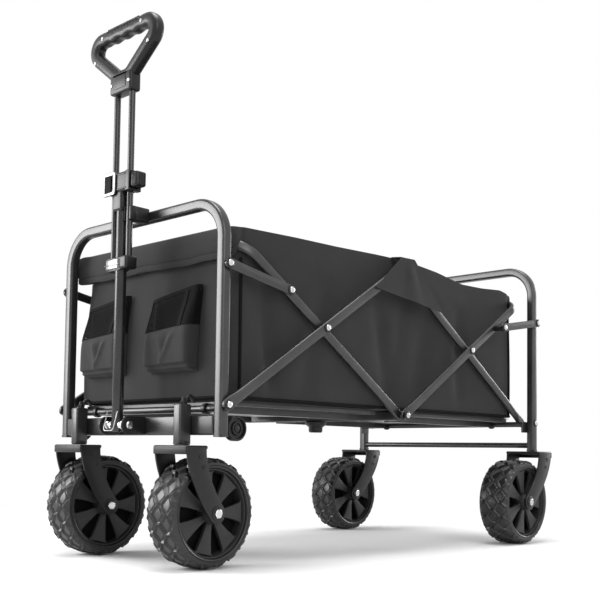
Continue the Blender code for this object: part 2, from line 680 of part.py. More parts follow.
def tyre_mesh():
    """A tyre with a rounded shoulder, centred on the origin, axis Y."""
    half = TYRE_WIDTH / 2
    bead = RIM_RADIUS + SEAT
    edge = WHEEL_RADIUS - TYRE_CROWN
    shoulder = arc((edge - TYRE_SHOULDER, half - TYRE_SHOULDER), TYRE_SHOULDER, 90, 20, 2)
    low_shoulder = [(r, -z) for r, z in reversed(shoulder)]
    profile = shoulder + [(WHEEL_RADIUS, half / 3), (WHEEL_RADIUS, -half / 3)] + low_shoulder
    profile += [(bead, -half), (bead, half)]
    return turned_mesh("tyre", profile, (0, 0, 0), TYRE_STEPS)


def make_wheels(steel, rubber, plastic, bright):
    """Four wheels, each with its tyre, rim, axle bolt and fork."""
    rim = rim_mesh()
    tyre = tyre_mesh()
    places = []
    for side in (-1, 1):
        places.append(("front", side, STEM_X, side * FRONT_TRACK_HALF, FRONT_TRAIL))
        places.append(("rear", side, REAR_X, side * REAR_POST_HALF, REAR_TRAIL))
    for end, side, x, y, trail in places:
        label = f"{end}_{side_name(side)}"
        lead_reach = FORK_PLATE_FRONT if end == "front" else REAR_PLATE_LEAD
        tail_reach = FORK_PLATE_BACK if end == "front" else REAR_PLATE_TAIL
        add_part(f"fork_{label}", fork_mesh(x, y, trail, lead_reach, tail_reach), steel)
        centre = Vector((x + trail, y, WHEEL_RADIUS))
        for name, data, mat in ((f"rim_{label}", rim, plastic), (f"tyre_{label}", tyre, rubber)):
            add_part(name, data, mat).location = centre
        reach = FORK_OUTER_HALF + SEAT
        bolt = [(AXLE_HEAD_RADIUS, reach + AXLE_HEAD), (AXLE_HEAD_RADIUS, reach), (AXLE_RADIUS, reach),
                (AXLE_RADIUS, -reach), (AXLE_HEAD_RADIUS, -reach), (AXLE_HEAD_RADIUS, -reach - AXLE_HEAD),
                (0, -reach - AXLE_HEAD), (0, reach + AXLE_HEAD)]
        add_part(f"axle_{label}", turned_mesh("axle", bolt, centre, ROUND_STEPS), bright)


def make_handle(steel, plastic, bright):
    """The pull handle: hinge bracket, main tube, sliding rods, collars, release button and grip."""
    base_x = CROSSBAR_FRONT_X - SEAT
    bracket_low = HANDLE_PIVOT_Z - BRACKET_HEIGHT / 2
    bracket_high = HANDLE_PIVOT_Z + BRACKET_HEIGHT / 2
    base = box_mesh("bracket", (base_x - BRACKET_BASE, -BRACKET_HALF, bracket_low),
                    (base_x, BRACKET_HALF, bracket_high))
    cheeks = []
    for side in (-1, 1):
        loop = [(base_x - BRACKET_BASE / 2, bracket_low)]
        loop.append((base_x - BRACKET_BASE / 2, bracket_high))
        loop += arc((HANDLE_X, HANDLE_PIVOT_Z), BRACKET_HEIGHT / 2, 90, 270, BEND_STEPS)
        loops = [loop, circle((HANDLE_X, HANDLE_PIVOT_Z), PIN_RADIUS + PIN_CLEARANCE)]
        cheeks.append(outline_mesh("cheek", loops, side * (BRACKET_HALF - BRACKET_CHEEK / 2), BRACKET_CHEEK))
    add_part("handle_bracket", combined("handle_bracket", base, cheeks), plastic)
    inner = HANDLE_TUBE_RADIUS + 2 * SEAT
    cheek_in = BRACKET_HALF - BRACKET_CHEEK - SEAT
    outer = BRACKET_HALF + SEAT
    pin = [(PIN_HEAD_RADIUS, outer + PIN_HEAD), (PIN_HEAD_RADIUS, outer), (PIN_RADIUS, outer),
           (PIN_RADIUS, cheek_in), (SLEEVE_RADIUS, cheek_in), (SLEEVE_RADIUS, inner), (PIN_RADIUS, inner)]
    pin += [(r, -z) for r, z in reversed(pin)] + [(0, -outer - PIN_HEAD), (0, outer + PIN_HEAD)]
    add_part("handle_pivot_pin", turned_mesh("pivot_pin", pin, (HANDLE_X, 0, HANDLE_PIVOT_Z), ROUND_STEPS),
             bright)
    tube = rod_mesh("tube", (HANDLE_X, 0, HANDLE_TUBE_BOTTOM), (HANDLE_X, 0, HANDLE_TUBE_TOP),
                    HANDLE_TUBE_RADIUS, TUBE_STEPS)
    hole = hole_mesh("pivot_hole", HANDLE_X, HANDLE_PIVOT_Z, 0, HANDLE_TUBE_RADIUS + SEAT)
    add_part("handle_tube", combined("handle_tube", tube, (), [hole]), steel)
    rod_low = SLIDE_COLLAR_BOTTOM + SLIDE_COLLAR_FLOOR + SEAT
    rod_high = GRIP_NECK_BOTTOM - SEAT
    for side in (-1, 1):
        y = side * ROD_SPREAD
        add_part(f"slide_rod_{side_name(side)}",
                 rod_mesh("slide_rod", (HANDLE_X, y, rod_low), (HANDLE_X, y, rod_high), SLIDE_ROD_RADIUS),
                 steel)
    middle = (COLLAR_BOTTOM + COLLAR_TOP) / 2
    pocket_floor = BUTTON_POCKET - COLLAR_HALF_WIDTH
    pocket = box_mesh("button_pocket",
                      (HANDLE_X - BUTTON_WIDTH / 2 - SEAT, -COLLAR_HALF_WIDTH - CUT_OVERRUN,
                       middle - BUTTON_HEIGHT / 2 - SEAT),
                      (HANDLE_X + BUTTON_WIDTH / 2 + SEAT, pocket_floor, middle + BUTTON_HEIGHT / 2 + SEAT))
    for name, low, high, half_y, half_x, tube_high, rods_from, pockets, mat in (
            ("upper_collar", COLLAR_BOTTOM, COLLAR_TOP, COLLAR_HALF_WIDTH, COLLAR_HALF_DEPTH,
             HANDLE_TUBE_TOP + SEAT, COLLAR_BOTTOM - CUT_OVERRUN, [pocket], plastic),
            ("slide_collar", SLIDE_COLLAR_BOTTOM, SLIDE_COLLAR_TOP, SLIDE_COLLAR_HALF_WIDTH,
             SLIDE_COLLAR_HALF_DEPTH, SLIDE_COLLAR_TOP + CUT_OVERRUN, rod_low - SEAT, [], bright)):
        block = add_tool(name + "_block", box_mesh(name, (HANDLE_X - half_x, -half_y, low),
                                                   (HANDLE_X + half_x, half_y, high)))
        mesh = plain_mesh(bevel(block, COLLAR_EDGE))
        bores = [rod_mesh("tube_bore", (HANDLE_X, 0, low - CUT_OVERRUN), (HANDLE_X, 0, tube_high),
                          HANDLE_TUBE_RADIUS + SEAT, TUBE_STEPS)]
        bores += [rod_mesh("rod_bore", (HANDLE_X, side * ROD_SPREAD, rods_from),
                           (HANDLE_X, side * ROD_SPREAD, high + CUT_OVERRUN), SLIDE_ROD_RADIUS + SEAT)
                  for side in (-1, 1)]
        add_part(name, combined(name, mesh, (), bores + pockets), mat)
    button_in = pocket_floor - SEAT - BUTTON_TRAVEL
    half_width = BUTTON_WIDTH / 2
    half_height = BUTTON_HEIGHT / 2
    block = box_mesh("button", (HANDLE_X - half_width, button_in - BUTTON_DEPTH, middle - half_height),
                     (HANDLE_X + half_width, button_in, middle + half_height))
    add_part("lock_button", plain_mesh(bevel(add_tool("button_block", block), BUTTON_EDGE)), plastic)
    dock_back = FRONT_X - POST_SIDE / 2 - SEAT
    rod_y = -ROD_SPREAD
    dock_inner = rod_y + DOCK_HALF_WIDTH / 2 + SLIDE_ROD_RADIUS / 2
    clip = add_tool("dock_block", box_mesh("dock", (HANDLE_X - DOCK_REACH, rod_y - DOCK_HALF_WIDTH,
                                                    DOCK_Z - DOCK_HALF_HEIGHT),
                                           (dock_back, dock_inner, DOCK_Z + DOCK_HALF_HEIGHT)))
    mesh = plain_mesh(bevel(clip, DOCK_EDGE))
    slot = SLIDE_ROD_RADIUS + SEAT
    notch = box_mesh("dock_slot", (HANDLE_X - DOCK_REACH - CUT_OVERRUN, rod_y - slot,
                                   DOCK_Z - DOCK_HALF_HEIGHT - CUT_OVERRUN),
                     (HANDLE_X + slot, rod_y + slot, DOCK_Z + DOCK_HALF_HEIGHT + CUT_OVERRUN))
    add_part("dock_clip", combined("dock_clip", mesh, (), [notch]), plastic)
    add_part("grip", grip_mesh(), plastic)


def grip_mesh():
    """A closed loop grip on a flat neck."""
    top = GRIP_TOP - GRIP_BAR_RADIUS - GRIP_UPPER_BEND
    low = GRIP_NECK_BOTTOM + GRIP_NECK_HEIGHT - GRIP_BAR_RADIUS + GRIP_LOWER_BEND
    span = math.hypot(GRIP_UPPER_HALF - GRIP_LOWER_HALF, top - low)
    lean = math.degrees(math.atan2(GRIP_UPPER_HALF - GRIP_LOWER_HALF, top - low)
                        + math.asin((GRIP_UPPER_BEND - GRIP_LOWER_BEND) / span))
    loop = arc((GRIP_UPPER_HALF, top), GRIP_UPPER_BEND, 90, -lean, 6)
    loop += arc((GRIP_LOWER_HALF, low), GRIP_LOWER_BEND, -lean, -90, 4)
    loop += [(-y, z) for y, z in reversed(loop)]
    curve = bpy.data.curves.new("grip_ring", "CURVE")
    curve.dimensions = "3D"
    curve.bevel_depth = GRIP_BAR_RADIUS
    curve.bevel_resolution = 1
    path = curve.splines.new("POLY")
    path.points.add(len(loop) - 1)
    for point, (y, z) in zip(path.points, loop):
        point.co = (HANDLE_X, y, z, 1)
    path.use_cyclic_u = True
    ring = plain_mesh(add_tool("grip_ring", curve))
    neck_top = GRIP_NECK_BOTTOM + GRIP_NECK_HEIGHT
    neck = box_mesh("neck", (HANDLE_X - GRIP_NECK_HALF_DEPTH, -GRIP_NECK_HALF_WIDTH, GRIP_NECK_BOTTOM),
                    (HANDLE_X + GRIP_NECK_HALF_DEPTH, GRIP_NECK_HALF_WIDTH, neck_top))
    block = add_tool("grip_neck", neck)
    return combined("grip", ring, [plain_mesh(bevel(block, GRIP_NECK_EDGE))])


def make_bag(cloth):
    """The fabric tub: four panels, the two pocket flaps over the top pivots and the front pockets."""
    front = FRONT_X + BAG_END_INSET
    rear = REAR_X - BAG_END_INSET
    notch_front = front + BAG_NOTCH
    notch_rear = rear - BAG_NOTCH
    loop = [(front, BAG_BOTTOM), (rear, BAG_BOTTOM), (rear, BAG_END_TOP), (notch_rear, BAG_END_TOP),
            (notch_rear - CLOTH, BAG_TOP_CORNER), (MIDDLE_X, BAG_TOP_MIDDLE),
            (notch_front + CLOTH, BAG_TOP_CORNER), (notch_front, BAG_END_TOP), (front, BAG_END_TOP)]
    for side in (-1, 1):
        add_part(f"bag_panel_{side_name(side)}",
                 outline_mesh("side_panel", [loop], side * (BAG_SIDE_Y - CLOTH / 2), CLOTH), cloth)
        flap_y = side * (ARM_Y + BAR_THICK / 2 + LAYER_GAP + FLAP_THICK / 2)
        flap = [(MIDDLE_X - FLAP_HALF, TOP_Z - FLAP_DROP), (MIDDLE_X + FLAP_HALF, TOP_Z - FLAP_DROP),
                (MIDDLE_X + FLAP_CREST, BAG_TOP_MIDDLE), (MIDDLE_X - FLAP_CREST, BAG_TOP_MIDDLE)]
        add_part(f"bag_flap_{side_name(side)}", outline_mesh("flap", [flap], flap_y, FLAP_THICK), cloth)
    reach = BAG_SIDE_Y - CLOTH - SEAT
    add_part("bag_panel_front", box_mesh("front_panel", (front, -reach, BAG_BOTTOM),
                                         (front + CLOTH, reach, BAG_END_TOP)), cloth)
    add_part("bag_panel_rear", box_mesh("rear_panel", (rear - CLOTH, -reach, BAG_BOTTOM),
                                        (rear, reach, BAG_END_TOP)), cloth)
    for side in (-1, 1):
        low = min(side * POCKET_INNER, side * POCKET_OUTER)
        high = max(side * POCKET_INNER, side * POCKET_OUTER)
        pocket = add_part(f"front_pocket_{side_name(side)}",
                          box_mesh("pocket", (front - SEAT - POCKET_DEPTH, low, POCKET_BOTTOM),
                                   (front - SEAT, high, POCKET_TOP)), cloth)
        bevel(pocket, POCKET_EDGE)


def make_pivots():
    """Empties on the joint axes, each the parent of the parts that turn or slide on it."""
    links = PIVOT_Z + LINK_HEIGHT
    axle_front = STEM_X + FRONT_TRAIL
    axle_rear = REAR_X + REAR_TRAIL
    sides = ("left", "right")
    pivots = [
        ("front_arms", None, (FRONT_X, 0, PIVOT_Z), [f"front_arm_{side}" for side in sides]),
        ("front_hoop", "front_arms", (FRONT_CROSS_X, 0, CROSS_Z), ["front_hoop"]),
        ("rear_arms", "front_arms", (MIDDLE_X, 0, TOP_Z), [f"rear_arm_{side}" for side in sides]),
        ("bag", "front_arms", (MIDDLE_X, 0, TOP_Z),
         [f"bag_panel_{place}" for place in sides + ("front", "rear")]
         + [f"{piece}_{side}" for piece in ("bag_flap", "front_pocket") for side in sides]),
        ("rear_hoop", "rear_arms", (REAR_CROSS_X, 0, CROSS_Z),
         ["rear_hoop"] + [f"link_spacer_{side}" for side in sides]),
        ("rear_frame", "rear_arms", (REAR_X, 0, PIVOT_Z),
         ["rear_u_frame", "rear_crossbar", "rear_floor_rod"]
         + [f"{piece}_rear_{side}" for piece in ("fork", "axle") for side in sides]),
        ("middle_beam", "front_hoop", (MIDDLE_X, 0, PIVOT_Z), ["middle_beam", "middle_foot"]),
        ("front_links", None, (FRONT_X, 0, links), [f"front_link_{side}" for side in sides]),
        ("rear_links", "rear_frame", (REAR_X, 0, links), [f"rear_link_{side}" for side in sides]),
        ("floor_front", None, (FRONT_X + ROD_INSET, 0, ROD_Z), ["floor_board_front"]),
        ("floor_rear", "rear_frame", (REAR_X - ROD_INSET, 0, ROD_Z), ["floor_board_rear"]),
        ("handle", None, (HANDLE_X, 0, HANDLE_PIVOT_Z), ["handle_tube", "upper_collar"]),
        ("handle_slider", "handle", (HANDLE_X, 0, GRIP_NECK_BOTTOM),
         ["slide_rod_left", "slide_rod_right", "slide_collar", "grip"]),
        ("lock_press", "handle", (HANDLE_X, -COLLAR_HALF_WIDTH, (COLLAR_BOTTOM + COLLAR_TOP) / 2),
         ["lock_button"]),
    ]
    for side, name in ((-1, "left"), (1, "right")):
        caster_y = side * FRONT_TRACK_HALF
        pivots.append((f"caster_{name}", None, (STEM_X, caster_y, FORK_TOP),
                       [f"fork_front_{name}", f"axle_front_{name}"]))
        pivots.append((f"wheel_front_{name}", f"caster_{name}", (axle_front, caster_y, WHEEL_RADIUS),
                       [f"rim_front_{name}", f"tyre_front_{name}"]))
        pivots.append((f"wheel_rear_{name}", "rear_frame", (axle_rear, side * REAR_POST_HALF, WHEEL_RADIUS),
                       [f"rim_rear_{name}", f"tyre_rear_{name}"]))
    empties = {}
    for name, carrier, place, parts in pivots:
        empty = bpy.data.objects.new(f"pivot_{name}", None)
        empty.empty_display_size = ROLLER_RADIUS
        wagon.objects.link(empty)
        empty.location = place
        bpy.context.view_layer.update()
        empties[name] = empty
        for child in [wagon.objects[part] for part in parts]:
            child.parent = empty
            child.matrix_parent_inverse = empty.matrix_world.inverted()
        if carrier:
            empty.parent = empties[carrier]
            empty.matrix_parent_inverse = empties[carrier].matrix_world.inverted()


def main():
    """Build the wagon."""
    clear_scene()
    steel = finish("powder_coated_steel", (0.035, 0.036, 0.038), 0.38, 0.25)
    rubber = finish("black_rubber", (0.016, 0.016, 0.017), 0.62, 0.0)
    plastic = finish("black_plastic", (0.022, 0.022, 0.024), 0.45, 0.0)
    bright = finish("bright_zinc", (0.62, 0.63, 0.64), 0.28, 1.0)
    cloth = finish("charcoal_cloth", (0.040, 0.040, 0.042), 0.85, 0.0)
    make_frames(steel)
    make_stems_and_rollers(steel, rubber)
    make_arms(steel)
    make_hoops(steel)
    make_links(steel, plastic)
    make_floor(steel, plastic)
    make_wheels(steel, rubber, plastic, bright)
    make_handle(steel, plastic, bright)
    make_bag(cloth)
    make_pivots()
    for obj in list(tools.objects):
        bpy.data.objects.remove(obj, do_unlink=True)


main()
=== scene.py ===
"""Folding camp wagon: the looks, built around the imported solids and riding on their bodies."""

import json
import logging
import math
from dataclasses import dataclass, field
from enum import Enum
from typing import Iterable, Sequence

import bmesh
import bpy
import numpy as np
from mathutils import Matrix, Vector

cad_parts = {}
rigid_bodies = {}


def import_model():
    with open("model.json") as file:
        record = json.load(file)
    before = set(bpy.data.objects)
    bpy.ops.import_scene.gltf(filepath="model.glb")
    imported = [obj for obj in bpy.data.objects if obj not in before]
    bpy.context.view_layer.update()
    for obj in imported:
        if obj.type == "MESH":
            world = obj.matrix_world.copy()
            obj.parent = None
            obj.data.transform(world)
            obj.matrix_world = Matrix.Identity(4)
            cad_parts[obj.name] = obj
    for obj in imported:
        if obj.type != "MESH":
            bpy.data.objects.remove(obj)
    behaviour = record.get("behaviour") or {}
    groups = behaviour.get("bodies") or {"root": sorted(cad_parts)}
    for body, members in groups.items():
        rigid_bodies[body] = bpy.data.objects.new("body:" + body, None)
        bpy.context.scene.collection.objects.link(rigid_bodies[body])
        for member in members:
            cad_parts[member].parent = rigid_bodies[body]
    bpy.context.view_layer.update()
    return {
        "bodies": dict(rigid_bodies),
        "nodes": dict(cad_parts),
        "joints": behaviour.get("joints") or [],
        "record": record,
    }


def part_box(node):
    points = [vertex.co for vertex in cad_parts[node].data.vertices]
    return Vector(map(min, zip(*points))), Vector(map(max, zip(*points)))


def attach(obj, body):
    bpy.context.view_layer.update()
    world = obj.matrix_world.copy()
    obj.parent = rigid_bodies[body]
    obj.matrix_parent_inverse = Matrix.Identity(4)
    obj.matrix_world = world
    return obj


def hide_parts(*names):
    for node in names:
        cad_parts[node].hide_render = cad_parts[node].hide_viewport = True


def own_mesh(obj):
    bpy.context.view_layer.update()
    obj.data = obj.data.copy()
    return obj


logging.basicConfig(level=logging.INFO, format="%(message)s")
LOG = logging.getLogger("wagon")

Mesh = tuple[list, list]
Point = Sequence[float]
Value = bpy.types.NodeSocket | float | None
LEFT_RIGHT = ((-1, "left"), (1, "right"))
RIVET_EDGE = 0.0010
RIVET_DOME = 0.0016
WASHER = 0.0012


class Grain(Enum):
    """The kinds of surface detail a finish can carry."""

    POWDER = "powder"
    WEAVE = "weave"
    MOULD = "mould"
    RUBBER = "rubber"
    BRUSHED = "brushed"
    NET = "net"


class Effects:
    """Node groups that more than one finish uses, each made once."""

    dust_top: float = 0.20
    dust_slope: float = 5.0
    dust_scale: float = 55.0
    weave_cloud: float = 9.0
    net_gap: float = 0.80

    @staticmethod
    def _group(name: str, inputs: dict, outputs: Iterable[str]) -> tuple:
        """An empty node group with its sockets.

        Args:
            name: Name of the group.
            inputs: Default value of each float input.
            outputs: Names of the float outputs.

        Returns:
            The tree, its input node and its output node.
        """
        tree = bpy.data.node_groups.new(name, "ShaderNodeTree")
        for label, value in inputs.items():
            socket = tree.interface.new_socket(label, in_out="INPUT", socket_type="NodeSocketFloat")
            socket.default_value = value
        for label in outputs:
            tree.interface.new_socket(label, in_out="OUTPUT", socket_type="NodeSocketFloat")
        return tree, tree.nodes.new("NodeGroupInput"), tree.nodes.new("NodeGroupOutput")

    @staticmethod
    def math(tree: bpy.types.NodeTree, kind: str, a: Value, b: Value = None) -> bpy.types.NodeSocket:
        """A math node.

        Args:
            tree: The tree it goes into.
            kind: Its operation.
            a: First operand, a socket or a number.
            b: Second operand, if it takes one.

        Returns:
            Its output socket.
        """
        node = tree.nodes.new("ShaderNodeMath")
        node.operation = kind
        for slot, value in zip(node.inputs, (a, b)):
            if isinstance(value, (int, float)):
                slot.default_value = value
            elif value is not None:
                tree.links.new(value, slot)
        return node.outputs[0]

    @staticmethod
    def noise(tree: bpy.types.NodeTree, coords: Value, scale: Value, detail: float) -> bpy.types.NodeSocket:
        """A noise texture.

        Args:
            tree: The tree it goes into.
            coords: Socket of its coordinates.
            scale: Its scale, a socket or a number.
            detail: Its detail.

        Returns:
            Its value socket.
        """
        node = tree.nodes.new("ShaderNodeTexNoise")
        node.inputs["Detail"].default_value = detail
        if isinstance(scale, (int, float)):
            node.inputs["Scale"].default_value = scale
        else:
            tree.links.new(scale, node.inputs["Scale"])
        tree.links.new(coords, node.inputs["Vector"])
        return node.outputs["Fac"]

    @classmethod
    def grain(cls) -> bpy.types.NodeTree:
        """Fine grain, broad cloudiness and low dust, for coated and moulded surfaces.

        Returns:
            A group with the outputs Height, Cloud and Dust.
        """
        if "surface_grain" in bpy.data.node_groups:
            return bpy.data.node_groups["surface_grain"]
        scales = {"Fine": 900.0, "Broad": 16.0}
        tree, start, end = cls._group("surface_grain", scales, ("Height", "Cloud", "Dust"))
        coords = tree.nodes.new("ShaderNodeTexCoord").outputs["Object"]
        fine = cls.noise(tree, coords, start.outputs["Fine"], 2.0)
        cloud = cls.noise(tree, coords, start.outputs["Broad"], 5.0)
        axes = tree.nodes.new("ShaderNodeSeparateXYZ")
        tree.links.new(coords, axes.inputs[0])
        low = cls.math(tree, "SUBTRACT", cls.dust_top, axes.outputs[2])
        low = cls.math(tree, "MULTIPLY", low, cls.dust_slope)
        low = cls.math(tree, "MAXIMUM", low, 0.0)
        dust = cls.math(tree, "MULTIPLY", low, cls.noise(tree, coords, cls.dust_scale, 6.0))
        for label, value in (("Height", fine), ("Cloud", cloud), ("Dust", dust)):
            tree.links.new(value, end.inputs[label])
        return tree

    @classmethod
    def weave(cls) -> bpy.types.NodeTree:
        """A plain weave: threads over and under, on walls that face along X or along Y.

        Returns:
            A group with the outputs Height, Cloud and Open.
        """
        if "plain_weave" in bpy.data.node_groups:
            return bpy.data.node_groups["plain_weave"]
        tree, start, end = cls._group("plain_weave", {"Threads": 900.0}, ("Height", "Cloud", "Open"))
        coords = tree.nodes.new("ShaderNodeTexCoord").outputs["Object"]
        axes = tree.nodes.new("ShaderNodeSeparateXYZ")
        tree.links.new(coords, axes.inputs[0])
        across = cls.math(tree, "ADD", axes.outputs[0], axes.outputs[1])
        count = cls.math(tree, "MULTIPLY", start.outputs["Threads"], math.pi)
        warp = cls.math(tree, "SINE", cls.math(tree, "MULTIPLY", across, count))
        weft = cls.math(tree, "SINE", cls.math(tree, "MULTIPLY", axes.outputs[2], count))
        warp = cls.math(tree, "ABSOLUTE", warp)
        weft = cls.math(tree, "ABSOLUTE", weft)
        tree.links.new(cls.math(tree, "MULTIPLY", warp, weft), end.inputs["Height"])
        tree.links.new(cls.noise(tree, coords, cls.weave_cloud, 6.0), end.inputs["Cloud"])
        gap = cls.math(tree, "MINIMUM", warp, weft)
        tree.links.new(cls.math(tree, "LESS_THAN", gap, cls.net_gap), end.inputs["Open"])
        return tree


FINE_GRAIN = {Grain.BRUSHED: 240.0, Grain.MOULD: 1500.0, Grain.RUBBER: 1500.0}
NET_THREADS = 330.0
CLOUD_STOPS = (0.3, 0.72)
DUST_COLOUR = (0.060, 0.059, 0.057, 1)
DUST_SHARE = 0.05
ROUGH_SPREAD = 0.16
BUMP_DEPTH = 0.0006


@dataclass(frozen=True)
class Finish:
    """One surface finish and the record slot it belongs to."""

    name: str
    slot: str
    colour: float
    roughness: float
    metallic: float
    grain: Grain
    bump: float = 0.1
    tint: tuple = (1.0, 1.0, 1.02)
    shine: float = 0.5
    spread: float = 0.16
    sheen: float = 0.0

    def material(self) -> bpy.types.Material:
        """The finish as a Blender material.

        Returns:
            The material, made the first time and shared afterwards.
        """
        if self.name in bpy.data.materials:
            return bpy.data.materials[self.name]
        mat = bpy.data.materials.new(self.name)
        mat.use_nodes = True
        tree = mat.node_tree
        shader = tree.nodes["Principled BSDF"]
        shader.inputs["Metallic"].default_value = self.metallic
        shader.inputs["Specular IOR Level"].default_value = self.shine
        effect = tree.nodes.new("ShaderNodeGroup")
        woven = self.grain in (Grain.WEAVE, Grain.NET)
        effect.node_tree = Effects.weave() if woven else Effects.grain()
        if self.grain is Grain.NET:
            effect.inputs["Threads"].default_value = NET_THREADS
            tree.links.new(effect.outputs["Open"], shader.inputs["Alpha"])
        if self.grain in FINE_GRAIN:
            effect.inputs["Fine"].default_value = FINE_GRAIN[self.grain]
        ramp = tree.nodes.new("ShaderNodeValToRGB")
        for element, position, sign in zip(ramp.color_ramp.elements, CLOUD_STOPS, (-1, 1)):
            element.position = position
            element.color = [self.colour * (1 + sign * self.spread) * t for t in self.tint] + [1]
        tree.links.new(effect.outputs["Cloud"], ramp.inputs["Fac"])
        base = ramp.outputs["Color"]
        if self.grain is Grain.RUBBER:
            mix = tree.nodes.new("ShaderNodeMix")
            mix.data_type = "RGBA"
            mix.inputs["B"].default_value = DUST_COLOUR
            dust = Effects.math(tree, "MULTIPLY", effect.outputs["Dust"], DUST_SHARE)
            tree.links.new(dust, mix.inputs["Factor"])
            tree.links.new(base, mix.inputs["A"])
            base = mix.outputs["Result"]
        tree.links.new(base, shader.inputs["Base Color"])
        rough = Effects.math(tree, "MULTIPLY", effect.outputs["Cloud"], ROUGH_SPREAD)
        rough = Effects.math(tree, "ADD", rough, self.roughness - ROUGH_SPREAD / 2)
        tree.links.new(rough, shader.inputs["Roughness"])
        if woven:
            shader.inputs["Sheen Weight"].default_value = self.sheen
        bump = tree.nodes.new("ShaderNodeBump")
        bump.inputs["Strength"].default_value = self.bump
        bump.inputs["Distance"].default_value = BUMP_DEPTH
        tree.links.new(effect.outputs["Height"], bump.inputs["Height"])
        tree.links.new(bump.outputs["Normal"], shader.inputs["Normal"])
        return mat


POWDER = Finish("powder_coat", "frame_steel", 0.066, 0.33, 0.80, Grain.POWDER, 0.015)
TUBE = Finish("tube_coat", "frame_steel", 0.048, 0.26, 0.80, Grain.POWDER, 0.015)
FORK = Finish("fork_coat", "fork_steel", 0.018, 0.38, 0.35, Grain.POWDER, 0.07, shine=0.35)
PLASTIC = Finish("moulded_black", "moulded_plastic", 0.009, 0.36, 0.0, Grain.MOULD, 0.03, shine=0.32)
# Painted shade: a near-black finish on the rim's back disc and the buckle's inner plate, standing for the
# shade in those hollows.
PAINTED_SHADE = Finish("hollow_black", "moulded_plastic", 0.004, 0.70, 0.0, Grain.MOULD, 0.10, shine=0.1)
RIM = Finish("rim_grey", "moulded_plastic", 0.024, 0.48, 0.0, Grain.MOULD, 0.10, shine=0.3)
RUBBER = Finish("tyre_black", "tyre_rubber", 0.007, 0.36, 0.0, Grain.RUBBER, 0.06, shine=0.52)
ZINC = Finish("bright_plate", "bright_zinc", 0.62, 0.26, 1.0, Grain.BRUSHED, 0.05)
CHROME = Finish("bright_collar", "bright_zinc", 0.20, 0.28, 1.0, Grain.BRUSHED, 0.30, spread=0.8)
CLOTH = Finish("charcoal_cloth", "tub_fabric", 0.027, 0.84, 0.0, Grain.WEAVE, 0.22, shine=0.15,
               sheen=0.06)
PIPING = Finish("black_binding", "tub_fabric", 0.006, 0.80, 0.0, Grain.WEAVE, 0.18, shine=0.08)
NET = Finish("pocket_net", "tub_fabric", 0.004, 0.80, 0.0, Grain.NET, 0.1, shine=0.06)


def ease(t: float) -> float:
    """A smooth step of t, held to 0 and 1 outside that range."""
    t = min(1.0, max(0.0, t))
    return t * t * (3 - 2 * t)


def rounded(width: float, height: float, radius: float, steps: int = 4) -> list:
    """A rectangle with round corners.

    Args:
        width: Its size along a.
        height: Its size along b.
        radius: Radius of the corners.
        steps: Pieces of each corner.

    Returns:
        A loop of (a, b) pairs.
    """
    loop = []
    for cx, cy, start in ((1, 1, 0), (-1, 1, 90), (-1, -1, 180), (1, -1, 270)):
        for i in range(steps + 1):
            a = math.radians(start + 90 * i / steps)
            loop.append((cx * (width / 2 - radius) + radius * math.cos(a),
                         cy * (height / 2 - radius) + radius * math.sin(a)))
    return loop


def bent(points: Sequence[Point], radius: float, steps: int = 10) -> list:
    """A path whose corners are rounded.

    Args:
        points: Its corners and both ends.
        radius: Radius at each corner.
        steps: Pieces of each bend.

    Returns:
        The points of the path.
    """
    path = [Vector(points[0])]
    for before, corner, after in zip(points, points[1:], points[2:]):
        turn = Vector(corner)
        a, b = ((Vector(end) - turn).normalized() for end in (before, after))
        half = a.angle(b) / 2
        centre = turn + (a + b).normalized() * (radius / math.sin(half))
        start, stop = ((turn + way * (radius / math.tan(half)) - centre).normalized() for way in (a, b))
        path += [centre + start.slerp(stop, i / steps) * radius for i in range(steps + 1)]
    return path + [Vector(points[-1])]


def sweep(path: Sequence[Vector], section: Sequence, normal: Point, scales: Sequence | None = None,
          closed: bool = False) -> Mesh:
    """A section carried along a flat path.

    Args:
        path: Points of the path.
        section: Loop of (a, b): a lies in the path's plane, b along normal.
        normal: The plane's normal.
        scales: A factor pair for each point of the path.
        closed: True if the path runs back to its start.

    Returns:
        Vertices and faces.
    """
    up = Vector(normal).normalized()
    n, count = len(section), len(path)
    verts, faces = [], []
    for i, point in enumerate(path):
        before = path[i - 1] if i or closed else path[i]
        after = path[(i + 1) % count] if i < count - 1 or closed else path[i]
        side = (after - before).normalized().cross(up).normalized()
        sa, sb = scales[i] if scales else (1, 1)
        verts += [tuple(point + side * (a * sa) + up * (b * sb)) for a, b in section]
    for i in range(count if closed else count - 1):
        j = (i + 1) % count
        faces += [(i * n + k, i * n + (k + 1) % n, j * n + (k + 1) % n, j * n + k) for k in range(n)]
    if not closed:
        faces += [tuple(reversed(range(n))), tuple((count - 1) * n + k for k in range(n))]
    return verts, faces


def lathe(profile: Sequence, origin: Point, axis: str = "Y", steps: int = 28) -> Mesh:
    """A profile turned about an axis.

    Args:
        profile: Pairs of radius and height.
        origin: The point of the axis from which heights count.
        axis: X, Y or Z.
        steps: Pieces of the turn.

    Returns:
        Vertices and faces.
    """
    x, y, z = origin
    verts, faces = [], []
    n = len(profile)
    for i in range(steps):
        c, s = math.cos(math.tau * i / steps), math.sin(math.tau * i / steps)
        for r, h in profile:
            turned = {"Y": (r * c, h, r * s), "Z": (r * c, r * s, h), "X": (h, r * c, r * s)}[axis]
            verts.append((x + turned[0], y + turned[1], z + turned[2]))
        j = (i + 1) % steps
        faces += [(i * n + k, i * n + k + 1, j * n + k + 1, j * n + k) for k in range(n - 1)]
    for k in (0, n - 1):
        if profile[k][0] > 1e-6 and tuple(profile[0]) != tuple(profile[-1]):
            faces.append(tuple(i * n + k for i in range(steps)))
    return verts, faces


